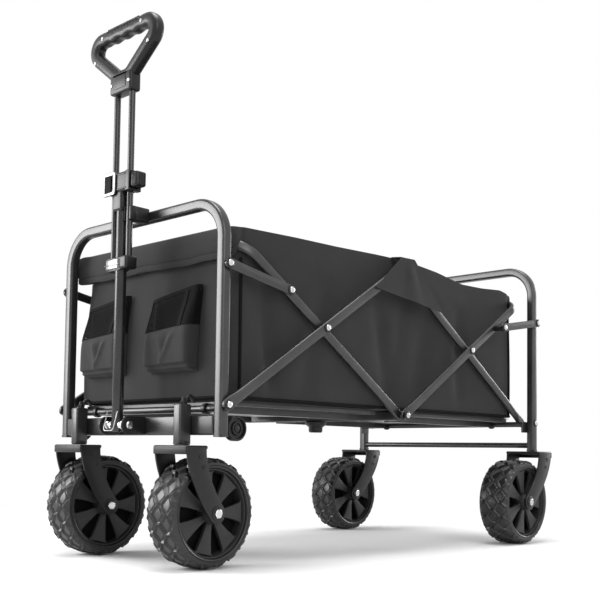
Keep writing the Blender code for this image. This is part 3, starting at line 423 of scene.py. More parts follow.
def prism(loop: Sequence, low: float, high: float) -> Mesh:
    """A loop carried along Y.

    Args:
        loop: Its (x, z) pairs.
        low: Where it starts.
        high: Where it ends.

    Returns:
        Vertices and faces.
    """
    n = len(loop)
    verts = [(x, y, z) for y in (low, high) for x, z in loop]
    faces = [(i, (i + 1) % n, n + (i + 1) % n, n + i) for i in range(n)]
    return verts, faces + [tuple(reversed(range(n))), tuple(range(n, 2 * n))]


def bevelled(mesh: Mesh, width: float, segments: int = 2) -> Mesh:
    """A mesh with its sharp edges rounded.

    Args:
        mesh: Vertices and faces.
        width: How far each rounding reaches.
        segments: Pieces of each rounding.

    Returns:
        The new vertices and faces.
    """
    bm = bmesh.new()
    verts = [bm.verts.new(v) for v in mesh[0]]
    for face in mesh[1]:
        bm.faces.new([verts[i] for i in face])
    bmesh.ops.recalc_face_normals(bm, faces=bm.faces)
    edges = [e for e in bm.edges if len(e.link_faces) == 2 and e.calc_face_angle(0) > math.radians(30)]
    bmesh.ops.bevel(bm, geom=edges, offset=width, segments=segments, profile=0.5, affect="EDGES",
                    clamp_overlap=True)
    bm.verts.index_update()
    out = [tuple(v.co) for v in bm.verts], [tuple(v.index for v in f.verts) for f in bm.faces]
    bm.free()
    return out


def block(low: Point, high: Point, radius: float, segments: int = 3) -> Mesh:
    """A box from corner to corner with rounded edges."""
    loop = [(low[0], low[2]), (high[0], low[2]), (high[0], high[2]), (low[0], high[2])]
    return bevelled(prism(loop, low[1], high[1]), radius, segments)


def joined(*meshes: Mesh) -> Mesh:
    """Several meshes as one.

    Args:
        meshes: Vertices and faces of each.

    Returns:
        Vertices and faces of all.
    """
    verts, faces = [], []
    for part_verts, part_faces in meshes:
        start = len(verts)
        verts += part_verts
        faces += [tuple(i + start for i in face) for face in part_faces]
    return verts, faces


def moved(mesh: Mesh, offset: Point) -> Mesh:
    """The mesh shifted by offset."""
    return [(x + offset[0], y + offset[1], z + offset[2]) for x, y, z in mesh[0]], mesh[1]


def grid(points: np.ndarray, closed: bool = False) -> Mesh:
    """A sheet of quads over rows and columns of points.

    Args:
        points: Array of rows, columns and coordinates.
        closed: True if the last row joins the first.

    Returns:
        Vertices and faces.
    """
    rows, cols = points.shape[:2]
    faces = []
    for i in range(rows if closed else rows - 1):
        j = (i + 1) % rows
        faces += [(i * cols + k, i * cols + k + 1, j * cols + k + 1, j * cols + k) for k in range(cols - 1)]
    return [tuple(p) for p in points.reshape(-1, 3)], faces


def give_back(bm: bmesh.types.BMesh, thick: float) -> None:
    """Closes an open sheet with a second skin behind it.

    Args:
        bm: The sheet, changed in place.
        thick: Distance between the skins.
    """
    bm.normal_update()
    bm.verts.index_update()
    front = bm.verts[:]
    faces = bm.faces[:]
    rims = [edge.link_loops[0] for edge in bm.edges if edge.is_boundary]
    back = [bm.verts.new(vert.co - vert.normal * thick) for vert in front]
    for face in faces:
        bm.faces.new([back[vert.index] for vert in reversed(face.verts[:])])
    for loop in rims:
        a, b = loop.vert, loop.link_loop_next.vert
        bm.faces.new((b, a, back[a.index], back[b.index]))


def piece(name: str, mesh: Mesh, finish: Finish, body: str, nodes: Iterable[str] = (), angle: float = 32.0,
          thick: float = 0.0) -> bpy.types.Object:
    """One visible piece, riding on a body of the frame.

    Args:
        name: Name of the piece.
        mesh: Vertices and faces.
        finish: Its finish.
        body: The body it moves with.
        nodes: The solids it stands for.
        angle: Edges sharper than this stay sharp, in degrees.
        thick: Thickness given to an open sheet.

    Returns:
        The object.
    """
    data = bpy.data.meshes.new(name)
    data.from_pydata(mesh[0], [], mesh[1])
    obj = bpy.data.objects.new(name, data)
    bpy.context.scene.collection.objects.link(obj)
    bm = bmesh.new()
    bm.from_mesh(data)
    bmesh.ops.recalc_face_normals(bm, faces=bm.faces)
    if thick:
        give_back(bm, thick)
    bm.to_mesh(data)
    bm.free()
    data.shade_smooth()
    data.set_sharp_from_angle(angle=math.radians(angle))
    data.materials.append(finish.material())
    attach(obj, body)
    if nodes:
        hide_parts(*nodes)
    LOG.info("piece %s on %s: %d faces", name, body, len(data.polygons))
    return obj


def middle(low: Point, high: Point) -> tuple:
    """The point halfway between two corners."""
    return tuple((a + b) / 2 for a, b in zip(low, high))


def facing(profile: Iterable, side: int) -> list:
    """A turned profile of (radius, height) pairs, made to face to one side."""
    return [(r, side * h) for r, h in profile]


def rod(radius: float, low: float, high: float, origin: Point, axis: str = "Y", steps: int = 24) -> Mesh:
    """A plain round bar along an axis through origin, from low to high."""
    return lathe([(0, low), (radius, low), (radius, high), (0, high)], origin, axis, steps)


def fastener(x: float, y: float, z: float, side: int, radius: float = 0.0052) -> Mesh:
    """A domed rivet head that faces outwards along Y.

    Args:
        x: Its place along the wagon.
        y: Its seat.
        z: Its height.
        side: -1 or 1, the way it faces.
        radius: Radius of the head.

    Returns:
        Vertices and faces.
    """
    dome = [(radius, 0.0), (radius, RIVET_EDGE)]
    for a in map(math.radians, (25, 50, 75)):
        dome.append((radius * math.cos(a), RIVET_EDGE + RIVET_DOME * math.sin(a)))
    dome.append((0.0, RIVET_EDGE + RIVET_DOME))
    return lathe(facing(dome, side), (x, y, z), "Y", 20)


def washer(x: float, y: float, z: float, side: int, radius: float = 0.0085, thick: float = WASHER) -> Mesh:
    """A flat washer that faces outwards along Y, its seat at y."""
    profile = [(0.0, 0.0), (radius, 0.0), (radius, thick * 0.7), (radius * 0.93, thick), (0.0, thick)]
    return lathe(facing(profile, side), (x, y, z), "Y", 24)


@dataclass(frozen=True)
class Layout:
    """The main places of the wagon, in metres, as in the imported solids."""

    middle_x: float = 0.027
    half_length: float = 0.450
    pivot_z: float = 0.260
    cross_z: float = 0.4025
    top_z: float = 0.545
    link_z: float = 0.4814
    stem_x: float = -0.4444
    handle_x: float = -0.466

    @property
    def front_x(self) -> float:
        """Middle plane of the front posts."""
        return self.middle_x - self.half_length

    @property
    def rear_x(self) -> float:
        """Middle plane of the rear posts."""
        return self.middle_x + self.half_length

    @property
    def lean(self) -> float:
        """Slope of the scissor bars, in radians."""
        return math.atan2(self.cross_z - self.pivot_z, self.half_length / 2)

    def cross(self, end: int, past: float = 0.0) -> tuple:
        """A place on the hoop bar of one end.

        Args:
            end: -1 for the front and 1 for the rear.
            past: Distance up the bar from the scissor crossing.

        Returns:
            Its x and z.
        """
        return (self.middle_x + end * (self.half_length / 2 + past * math.cos(self.lean)),
                self.cross_z + past * math.sin(self.lean))


@dataclass
class Bar:
    """A flattened oval tube between two pivots, with broad flat tongues at its ends."""

    start: tuple
    stop: tuple
    y: float
    width: float = 0.0178
    thick: float = 0.0100
    tongue: float = 0.0060
    round: float = 0.0100
    flute: float = 0.0
    flute_share: float = 0.45
    flat_rounds: float = 1.6
    blend: float = 0.026
    taper_step: float = 0.005
    tongue_power: float = 5.0
    tube_power: float = 2.8
    around: int = 24

    def stations(self, total: float) -> list:
        """Where along the bar its section is drawn, closest together at the ends.

        Args:
            total: Length over both rounded ends.

        Returns:
            Distances from the first end.
        """
        near = [0.0001]
        near += [self.round * (1 - math.cos(math.radians(t))) for t in range(10, 91, 10)]
        near += [self.round + self.taper_step * i for i in range(1, 10)]
        return near + [total - s for s in reversed(near)]

    def section(self, edge: float) -> list:
        """The bar's section at one place.

        Args:
            edge: Distance from the nearer end.

        Returns:
            A loop of (across, out) pairs.
        """
        share = ease((edge - self.flat_rounds * self.round) / self.blend)
        broad = math.sqrt(max(0.0, self.round ** 2 - max(0.0, self.round - edge) ** 2))
        half = broad + (self.width / 2 - self.round) * share
        deep = (self.tongue + (self.thick - self.tongue) * share) / 2
        power = 2 / (self.tongue_power + (self.tube_power - self.tongue_power) * share)
        loop = []
        for k in range(self.around):
            c, t = math.cos(math.tau * k / self.around), math.sin(math.tau * k / self.around)
            v = half * math.copysign(abs(c) ** power, c)
            raised = self.flute * share * max(0.0, 1 - (v / (half * self.flute_share + 1e-6)) ** 2)
            loop.append((v, math.copysign(deep * abs(t) ** power + raised, t)))
        return loop

    def mesh(self) -> Mesh:
        """The whole bar.

        Returns:
            Vertices and faces.
        """
        a, b = (Vector((x, self.y, z)) for x, z in (self.start, self.stop))
        run = (b - a).normalized()
        across = run.cross(Vector((0, 1, 0)))
        total = (b - a).length + 2 * self.round
        rows = []
        for s in self.stations(total):
            place = a + run * (s - self.round)
            loop = [tuple(place + across * v + Vector((0, d, 0))) for v, d in self.section(min(s, total - s))]
            rows.append(loop + loop[:1])
        return grid(np.array(rows))


@dataclass
class Scissors:
    """The folding sides: arms, hoops, links and their rivets."""

    p: Layout
    outer_y: float = 0.2248
    inner_y: float = 0.2140
    tongue_seat: float = 0.0030
    tube_seat: float = 0.0050
    rear_post_y: float = 0.2486
    middle_y: float = 0.2331
    hoop_short: float = 0.036
    hoop_bend: float = 0.045
    hoop_section: tuple = (0.0100, 0.0174, 0.0047)  # depth, width, corner radius
    hoop_lead: tuple = (0.0005, 0.0020, 0.0045, 0.0078, 0.0120, 0.018, 0.026, 0.034, 0.044)
    hoop_round: float = 0.0090
    hoop_half: float = 0.0080
    hoop_pressed: float = 0.6
    hoop_flat: float = 0.016
    hoop_blend: float = 0.026
    spacer: tuple = (0.0062, 0.0045, 0.0185)  # radius, seat on the tube, length
    link_y: tuple = (0.2228, 0.2524)  # front, rear
    link_reach: float = 0.102
    link_thick: float = 0.0046

    def arms(self) -> None:
        """The four long arms, and the rivets on their outer faces."""
        p = self.p
        for side, hand in LEFT_RIGHT:
            for end, x, y in (("front", p.front_x, self.outer_y), ("rear", p.rear_x, self.inner_y)):
                node = f"{end}_arm_{hand}"
                bar = Bar((x, p.pivot_z), (p.middle_x, p.top_z), side * y)
                piece(f"{node}_tube", bar.mesh(), POWDER, f"{end}_arms", [node])
            for word, place, y, body in (
                    ("front_post", (p.front_x, p.pivot_z), self.outer_y + self.tongue_seat, "front_arms"),
                    ("front_cross", p.cross(-1), self.outer_y + self.tube_seat, "front_arms"),
                    ("rear_post", (p.rear_x, p.pivot_z), self.rear_post_y, "rear_frame")):
                self._rivets(f"{word}_rivet_{hand}", [place], side * y, side, body)

    @staticmethod
    def _rivets(name: str, places: Sequence, y: float, side: int, body: str) -> None:
        """Dark washers with bright rivet heads on them.

        Args:
            name: Start of the pieces' names.
            places: Their (x, z) pairs.
            y: Their seat.
            side: -1 or 1, the way they face.
            body: The body they ride on.
        """
        washers = [washer(x, y, z, side) for x, z in places]
        heads = [fastener(x, y + side * WASHER, z, side) for x, z in places]
        piece(f"{name}_washers", joined(*washers), FORK, body)
        piece(f"{name}_heads", joined(*heads), ZINC, body)

    def _hoop_scales(self, count: int) -> list:
        """How far a hoop's section is pressed flat towards both feet.

        Args:
            count: Number of points on its path.

        Returns:
            A factor pair for each point.
        """
        scales = []
        for i in range(count):
            near = min(i, count - 1 - i)
            s = self.hoop_lead[near] if near < len(self.hoop_lead) else 1.0
            share = ease((s - self.hoop_flat) / self.hoop_blend)
            short = max(0.0, self.hoop_round - s)
            broad = math.sqrt(max(0.0, self.hoop_round ** 2 - short ** 2)) / self.hoop_half
            scales.append((self.hoop_pressed + (1 - self.hoop_pressed) * share, broad + (1 - broad) * share))
        return scales

    def hoops(self) -> None:
        """The two hoops, each a bent oval tube that joins the sides across the tub."""
        p = self.p
        reach = 2 * math.hypot(p.half_length / 2, p.cross_z - p.pivot_z) - self.hoop_short
        for end, word, half in ((-1, "front", self.inner_y), (1, "rear", self.outer_y)):
            run = Vector((end * math.cos(p.lean), 0, math.sin(p.lean)))
            normal = Vector((-end * math.sin(p.lean), 0, math.cos(p.lean)))
            feet = [Vector((p.middle_x, side * half, p.pivot_z)) for side in (-1, 1)]
            corners = [feet[0], feet[0] + run * reach, feet[1] + run * reach, feet[1]]
            first, last = ([foot + run * (s - self.hoop_round) for s in self.hoop_lead] for foot in feet)
            path = first + bent(corners, self.hoop_bend, 12)[1:-1] + last[::-1]
            mesh = sweep(path, rounded(*self.hoop_section, 5), normal, self._hoop_scales(len(path)))
            piece(f"{word}_hoop_tube", mesh, POWDER, f"{word}_hoop", [f"{word}_hoop"])
        self._rear_rivets()

    def _rear_rivets(self) -> None:
        """The rivets that the rear hoop carries, and the bushes behind the rear links."""
        p = self.p
        radius, seat, length = self.spacer
        x, z = p.cross(1, self.link_reach)
        for side, hand in LEFT_RIGHT:
            for word, place, y in (("rear_cross", p.cross(1), self.outer_y + self.tube_seat),
                                   ("middle", (p.middle_x, p.pivot_z), self.middle_y)):
                self._rivets(f"{word}_rivet_{hand}", [place], side * y, side, "rear_hoop")
            bush = bevelled(rod(radius, 0, side * length, (x, side * (self.outer_y + seat), z)), 0.0006)
            piece(f"link_spacer_{hand}_bush", bush, PLASTIC, "rear_hoop", [f"link_spacer_{hand}"])

    def links(self) -> None:
        """The four short links, each pressed with a raised flute, and their rivets."""
        p = self.p
        for side, hand in LEFT_RIGHT:
            for end, word, x, out in ((-1, "front", p.front_x, self.link_y[0]),
                                      (1, "rear", p.rear_x, self.link_y[1])):
                node, y = f"{word}_link_{hand}", side * out
                spots = [(x, p.link_z), p.cross(end, self.link_reach)]
                bar = Bar(*spots, y, 0.0160, self.link_thick, self.link_thick, round=0.0084, flute=0.0012)
                piece(f"{node}_strip", bar.mesh(), POWDER, f"{word}_links", [node])
                seat = y + side * self.link_thick / 2
                self._rivets(f"{word}_link_rivets_{hand}", spots, seat, side, f"{word}_links")


@dataclass
class Frame:
    """The two upright frames with their crossbars, rods, stems, rollers and foot."""

    p: Layout
    tube: float = 0.018
    corner: float = 0.0045
    bend: float = 0.060
    cap_half: float = 0.0088
    rod_radius: float = 0.006
    rod_inset: float = 0.022
    rod_drop: float = 0.004
    lug: float = 0.004
    clip_y: float = 0.150
    clip: tuple = ((0.006, -0.004), (0.0092, -0.004), (0.0098, 0), (0.0092, 0.004), (0.006, 0.004))
    bearing: tuple = ((0.0072, 0.0), (0.0112, 0.0), (0.0122, 0.0012), (0.0122, 0.0040), (0.0108, 0.0052),
                      (0.0072, 0.0052), (0.0072, 0.0))
    bolt_x: float = 0.002
    bolt_head: tuple = ((0, 0), (0.0062, 0), (0.0062, 0.0045), (0.0050, 0.0056), (0, 0.0056))
    bolt_shank: tuple = ((0, 0.005), (0.0032, 0.005), (0.0032, 0.0105), (0.0022, 0.0118), (0, 0.0118))
    hook_start: tuple = (0.004, -0.006)  # behind the stem's middle, above its top
    hook_reach: tuple = (0.010, 0.020)  # half of its length, its rise
    hook_turn: tuple = (0.15, 0.82 * math.pi)
    hook_section: tuple = (0.005, 0.008, 0.0020)  # width, depth, corner radius
    hub_sink: float = 0.0030
    foot_profile: tuple = ((0.60, 0.5), (0.86, 0.7), (0.92, 1.0), (0, 1.0))  # shares of its solid

    def uprights(self) -> None:
        """The square tube bent to a U upside down at each end."""
        cap = self.cap_half
        for word, x in (("front", self.p.front_x), ("rear", self.p.rear_x)):
            low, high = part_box(f"{word}_u_frame")
            half, top, base = high[1] - self.tube / 2, high[2] - self.tube / 2, low[2]
            corners = [(x, -half, base), (x, -half, top), (x, half, top), (x, half, base)]
            mesh = sweep(bent(corners, self.bend, 16), rounded(self.tube, self.tube, self.corner), (1, 0, 0))
            piece(f"{word}_u_tube", mesh, POWDER, f"{word}_frame", [f"{word}_u_frame"])
            caps = [block((x - cap, y - cap, base - 0.0002), (x + cap, y + cap, base + 0.004), 0.0012)
                    for y in (-half, half)]
            piece(f"{word}_post_caps", joined(*caps), PLASTIC, f"{word}_frame")

    def crossbars(self) -> None:
        """The deep front crossbar, the round rear one and the floor rods."""
        low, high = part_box("front_crossbar")
        piece("front_crossbar_tube", block(low, high, 0.0028), POWDER, "front_frame", ["front_crossbar"])
        low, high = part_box("rear_crossbar")
        x, _, z = middle(low, high)
        bar = rod((high[2] - low[2]) / 2, low[1], high[1], (x, 0, z))
        piece("rear_crossbar_tube", bar, POWDER, "rear_frame", ["rear_crossbar"])
        for end, word, post in ((-1, "front", self.p.front_x), (1, "rear", self.p.rear_x)):
            self._floor_rod(word, post, post - end * self.rod_inset)

    def _floor_rod(self, word: str, post: float, x: float) -> None:
        """One floor rod with its clips, and the lugs that join it to its post.

        Args:
            word: The end it is at.
            post: Middle plane of the post.
            x: Middle plane of the rod.
        """
        low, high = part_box(f"{word}_floor_rod")
        reach, z = high[1], self.p.pivot_z - self.rod_drop
        parts = [rod(self.rod_radius, 0.002 - reach, reach - 0.002, (x, 0, z), "Y", 20)]
        for side in (-1, 1):
            near = min(side * reach, side * (reach - self.lug))
            parts.append(block((min(x, post) - 0.002, near, low[2]),
                               (max(x, post) + 0.002, near + self.lug, high[2]), 0.0012))
        piece(f"{word}_floor_rod_bar", joined(*parts), POWDER, f"{word}_frame", [f"{word}_floor_rod"])
        rings = [lathe(self.clip, (x, y, z), "Y", 20) for y in (-self.clip_y, self.clip_y)]
        piece(f"{word}_rod_clips", joined(*rings), PLASTIC, f"{word}_frame")

    def stems(self) -> None:
        """The caster stems with bearing rings, and the hooked bolt on top of each."""
        for side, hand in LEFT_RIGHT:
            node = f"front_stem_{hand}"
            low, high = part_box(node)
            x, y, _ = middle(low, high)
            top = high[2]
            piece(f"{node}_tube", block(low, high, 0.0026), POWDER, "front_frame", [node])
            ring = lathe(self.bearing, (x, y, low[2] + 0.0003), "Z", 32)
            piece(f"stem_bearing_{hand}", ring, PLASTIC, "front_frame")
            head = lathe(self.bolt_head, (x + self.bolt_x, y, top - 0.0002), "Z", 6)
            shank = lathe(self.bolt_shank, (x + self.bolt_x, y, top), "Z", 14)
            piece(f"stem_bolt_{hand}", joined(head, shank), FORK, "front_frame")
            (ahead, drop), (long, tall) = self.hook_start, self.hook_reach
            path = []
            for t in np.linspace(*self.hook_turn, 14):
                path.append(Vector((x + ahead + long * (1 - math.cos(t)), y - side * 0.0002,
                                    top + drop + tall * math.sin(t))))
            hook = sweep(path, rounded(*self.hook_section, 3), (0, 1, 0))
            piece(f"stem_hook_{hand}", hook, FORK, "front_frame")

    def rollers(self) -> None:
        """The stand rollers: ribbed discs with an inner ring."""
        for side, hand in LEFT_RIGHT:
            node = f"stand_roller_{hand}"
            low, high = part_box(node)
            x, y, z = middle(low, high)
            r, h = (high[0] - low[0]) / 2, (high[1] - low[1]) / 2
            hub = h - self.hub_sink
            half = [(0, hub), (0.0075, hub), (0.0085, h - 0.0006), (0.0105, h - 0.0006), (0.0115, h - 0.0036),
                    (r - 0.0045, h - 0.0036), (r - 0.0035, h), (r - 0.0012, h), (r, h - 0.0015)]
            disc = lathe(half + facing(half, -1)[::-1], (x, y, z), "Y", 36)
            piece(f"{node}_disc", disc, PLASTIC, "front_frame", [node])
            piece(f"{node}_bolt", fastener(x, y + side * hub, z, side, 0.0055), FORK, "front_frame")

    def foot(self) -> None:
        """The turned foot under the middle beam."""
        low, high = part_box("middle_foot")
        x, y, _ = middle(low, high)
        wide, tall = (high[0] - low[0]) / 2, high[2] - low[2]
        profile = [(0, 0), (0.5 * wide, 0), (0.58 * wide, 0.0020)]
        profile += [(r * wide, h * tall) for r, h in self.foot_profile]
        puck = bevelled(lathe(profile, (x, y, low[2]), "Z", 32), 0.0006)
        piece("middle_foot_puck", puck, PLASTIC, "middle_beam", ["middle_foot"])


@dataclass
class Wheel:
    """A wheel with a lugged tyre and a spoked rim, built round the origin with its axle along Y."""

    radius: float = 0.089
    width: float = 0.068
    # The sidewall: depth below the tread and inset from the tyre's side.
    wall: tuple = ((0.0175, 0.0030), (0.0165, 0.0008), (0.0150, 0.0), (0.0140, 0.0), (0.0134, 0.0009),
                   (0.0126, 0.0009), (0.0120, 0.0), (0.0105, 0.0), (0.0082, 0.0006))
    crown_inset: float = 0.0035
    crown_drop: float = 0.0011
    shoulder_drop: float = 0.0055
    shoulder: float = 0.66
    groove: float = 0.0036
    lugs: int = 18
    lug_steps: int = 26
    column: float = 0.0200
    rib: float = 0.0030
    lug_start: float = 0.0048
    lug_edge: float = 0.0012
    lug_rise: float = 0.42
    ripple: tuple = (0.06, 2600)  # share of a lug's rise, rate along it
    rim_inset: float = 0.0176
    rim_half: float = 0.029
    lip: tuple = ((0.0, 0.0), (0.0006, 0.0012), (0.0024, 0.0012), (0.0032, 0.0), (0.0040, -0.010))
    boss: tuple = ((0.0, 0.0), (0.0170, 0.0), (0.0170, 0.0300), (0.0155, 0.0345), (0.0120, 0.0352),
                   (0.0, 0.0352))
    web_inner: float = 0.0165
    web_half: float = 0.010
    spokes: int = 7
    spoke_inset: float = 0.0214
    spoke_face: float = 0.0262
    spoke_deep: float = 0.0075
    spoke_halves: tuple = ((0.0155, 0.34), (0.030, 0.245), (0.045, 0.235))  # radius, half angle
    made: list = field(default_factory=list)

    def tyre(self) -> Mesh:
        """The tyre: staggered six-sided lugs over the crown and a plain sidewall.

        Returns:
            Vertices and faces.
        """
        half = self.width / 2
        pitch = math.tau * self.radius / self.lugs
        around = self.lugs * self.lug_steps
        crown = np.linspace(-half + self.crown_inset, half - self.crown_inset, 73)
        wall = [(self.radius - deep, inset - half) for deep, inset in self.wall]
        rows = []
        for i in range(around):
            along = math.tau * self.radius * i / around
            tread = [(self._crown(y / half) - self.groove * self._gap(along, y, pitch), y) for y in crown]
            a = math.tau * i / around
            line = wall + tread + facing(wall, -1)[::-1] + wall[:1]
            rows.append([(r * math.cos(a), y, r * math.sin(a)) for r, y in line])
        return grid(np.array(rows), closed=True)

    def _crown(self, share: float) -> float:
        """Radius of the tread over its lugs, at a share of the half width from the middle."""
        past = max(0.0, (abs(share) - self.shoulder) / (1 - self.shoulder))
        return self.radius - self.crown_drop * share ** 2 - self.shoulder_drop * past ** 2.2

    def _gap(self, along: float, y: float, pitch: float) -> float:
        """How deep the groove is at a place on the tread.

        Args:
            along: Distance round the tread.
            y: Distance from its middle.
            pitch: Distance between two lugs of a row.

        Returns:
            A share, from 0 on a rib between lugs to 1 in a groove.
        """
        found = []
        for c in (-2, -1, 0, 1, 2):
            shift = pitch / 2 if c % 2 else 0.0
            k = round((along - shift) / pitch)
            for step in (-1, 0, 1):
                found.append(((k + step) * pitch + shift - along, c * self.column - y))
        found.sort(key=lambda d: d[0] ** 2 + d[1] ** 2)
        (ax, ay), (bx, by) = found[:2]
        apart = math.hypot(ax - bx, ay - by)
        edge = (bx * bx + by * by - ax * ax - ay * ay) / (2 * apart)
        rib = max(0.0, 1 - edge / self.rib)
        share, rate = self.ripple
        wave = 1 - share + share * math.sin(rate * (ax + ay))
        return 1 - max(rib, self.lug_rise * ease((edge - self.lug_start) / self.lug_edge) * wave)

    def rim(self) -> Mesh:
        """The rim: a drum with a lip, a hub, and flat wedge spokes on both faces.

        Returns:
            Vertices and faces.
        """
        lip = [(self.radius - self.rim_inset - deep, -self.rim_half - out) for deep, out in self.lip]
        parts = [lathe(lip + facing(lip, -1)[::-1] + lip[:1], (0, 0, 0), "Y", 84)]
        for side in (-1, 1):
            parts += [self._spokes(side), lathe(facing(self.boss, side), (0, 0, 0), "Y", 40)]
        return joined(*parts)

    def web(self) -> Mesh:
        """The disc between the two rows of spokes.

        Returns:
            Vertices and faces.
        """
        inner, reach, half = self.web_inner, self.radius - self.spoke_inset, self.web_half
        loop = [(inner, -half), (reach, -half), (reach, half), (inner, half), (inner, -half)]
        return lathe(loop, (0, 0, 0), "Y", 84)

    def _spokes(self, side: int) -> Mesh:
        """The wedge spokes of one face, each a plate with rounded edges.

        Args:
            side: -1 or 1, the face they are on.

        Returns:
            Vertices and faces.
        """
        parts = []
        step = math.tau / self.spokes
        reach = self.radius - self.spoke_inset
        halves = self.spoke_halves + ((reach - 0.004, 0.250), (reach + 0.0015, 0.31))
        faces = sorted((side * self.spoke_face, side * (self.spoke_face - self.spoke_deep)))
        for k in range(self.spokes):
            start = k * step + (0.0 if side < 0 else step / 2)
            loop = [(r, start - half) for r, half in halves]
            loop += [(r, start + half) for r, half in reversed(halves)]
            flat = [(r * math.cos(a), r * math.sin(a)) for r, a in loop]
            parts.append(bevelled(prism(flat, *faces), 0.0013))
        return joined(*parts)

    def dress(self, name: str, centre: Point) -> None:
        """Places a wheel.

        Args:
            name: Its end and hand.
            centre: The middle of its axle.
        """
        if not self.made:
            self.made += [self.tyre(), self.rim(), self.web()]
        tyre, rim, web = (moved(mesh, centre) for mesh in self.made)
        body = f"wheel_{name}"
        piece(f"tyre_{name}_tread", tyre, RUBBER, body, [f"tyre_{name}"], 28)
        piece(f"rim_{name}_spokes", rim, RIM, body, [f"rim_{name}"])
        # Painted shade: the web gets a near-black finish so the gaps between the spokes look shaded.
        piece(f"rim_{name}_web", web, PAINTED_SHADE, body)


@dataclass
class Fork:
    """A folded sheet fork: a top plate, two curved legs and its axle bolt."""

    name: str
    body: str
    x: float
    y: float
    trail: float
    lead: float
    tail: float
    top: float = 0.1965
    axle_z: float = 0.089
    inner: float = 0.037
    leg: float = 0.004
    boss: float = 0.0168
    boss_arc: tuple = (233, 387)
    lead_max: float = 0.0225
    lead_curve: tuple = (-0.8, -0.6, 1.7)
    tail_curve: tuple = (0.9, 0.45, 1.9)
    plate: float = 0.006
    lip: tuple = (0.004, 0.014, 0.001)  # thickness, lower and upper edge below the top
    dimples: tuple = ((0.006, -0.017, 0.0042), (0.013, -0.034, 0.0034))  # behind, above, radius
    axle_radius: float = 0.005
    washer_size: tuple = (0.0118, 0.0014)  # radius, thickness
    nut: tuple = ((0, 0), (0.0078, 0), (0.0078, 0.0022), (0.0064, 0.0030), (0, 0.0030))

    @property
    def sign(self) -> int:
        """1 if the wheel trails to the rear, and -1 if to the front."""
        return 1 if self.trail > 0 else -1

    @property
    def axle_x(self) -> float:
        """Where the axle lies along the wagon."""
        return self.x + self.trail

    @property
    def wide(self) -> float:
        """Half of the fork's width over its legs."""
        return self.inner + self.leg

    def _edge(self, start: float, curve: tuple) -> list:
        """One curved edge of a leg from the plate down to the boss.

        Args:
            start: How far behind the stem it starts under the plate.
            curve: Where it meets the boss, in boss radii behind and above the axle, and its bow.

        Returns:
            Its (x, z) pairs.
        """
        under, (out, up, bow) = self.top - self.plate, curve
        high_x, low_x = self.x + self.sign * start, self.axle_x + self.sign * self.boss * out
        low_z = self.axle_z + self.boss * up
        edge = [(high_x, under + self.plate / 2)]
        for i in range(1, 15):
            t = i / 14
            edge.append((high_x + (low_x - high_x) * t ** bow, under + (low_z - under) * t))
        return edge

    def outline(self) -> list:
        """The leg's outline from the side.

        Returns:
            A loop of (x, z) pairs.
        """
        lead = self._edge(-min(self.lead_max, self.lead - 0.0025), self.lead_curve)
        tail = self._edge(self.tail - 0.003, self.tail_curve)
        arc = [(self.axle_x + self.sign * self.boss * math.cos(a), self.axle_z + self.boss * math.sin(a))
               for a in np.radians(np.linspace(*self.boss_arc, 13)[1:-1])]
        return lead + arc + tail[::-1]

    def dress(self) -> None:
        """Builds the fork, its pressed dimples and its axle bolt."""
        y, top, wide = self.y, self.top, self.wide
        ends = sorted((self.x - self.sign * self.lead, self.x + self.sign * self.tail))
        deep, low, high = self.lip
        edge = self.x - self.sign * self.lead
        front = sorted((edge, edge + self.sign * deep))
        legs, dimples, nuts, washers = [], [], [], []
        for across in (-1, 1):
            sheet = sorted((y + across * self.inner, y + across * wide))
            legs.append(bevelled(prism(self.outline(), *sheet), 0.0012))
            for dx, dz, radius in self.dimples:
                place = (self.x + self.sign * dx, y + across * (wide - 0.0004), top + dz)
                dimples.append(washer(*place, across, radius))
            seat = y + across * wide
            washers.append(washer(self.axle_x, seat, self.axle_z, across, *self.washer_size))
            place = (self.axle_x, seat + across * self.washer_size[1], self.axle_z)
            nuts.append(lathe(facing(self.nut, across), place, "Y", 6))
        plate = block((ends[0], y - wide, top - self.plate), (ends[1], y + wide, top), 0.0028, 4)
        lip = block((front[0], y - wide, top - low), (front[1], y + wide, top - high), 0.0018)
        shaft = rod(self.axle_radius, -wide, wide, (self.axle_x, y, self.axle_z), "Y", 20)
        piece(f"fork_{self.name}_sheet", joined(*legs, plate, lip), FORK, self.body, [f"fork_{self.name}"])
        piece(f"fork_{self.name}_dimples", joined(*dimples), FORK, self.body)
        piece(f"axle_{self.name}_bolt", joined(shaft, *nuts), ZINC, self.body, [f"axle_{self.name}"])
        piece(f"axle_{self.name}_washers", joined(*washers), PLASTIC, self.body)


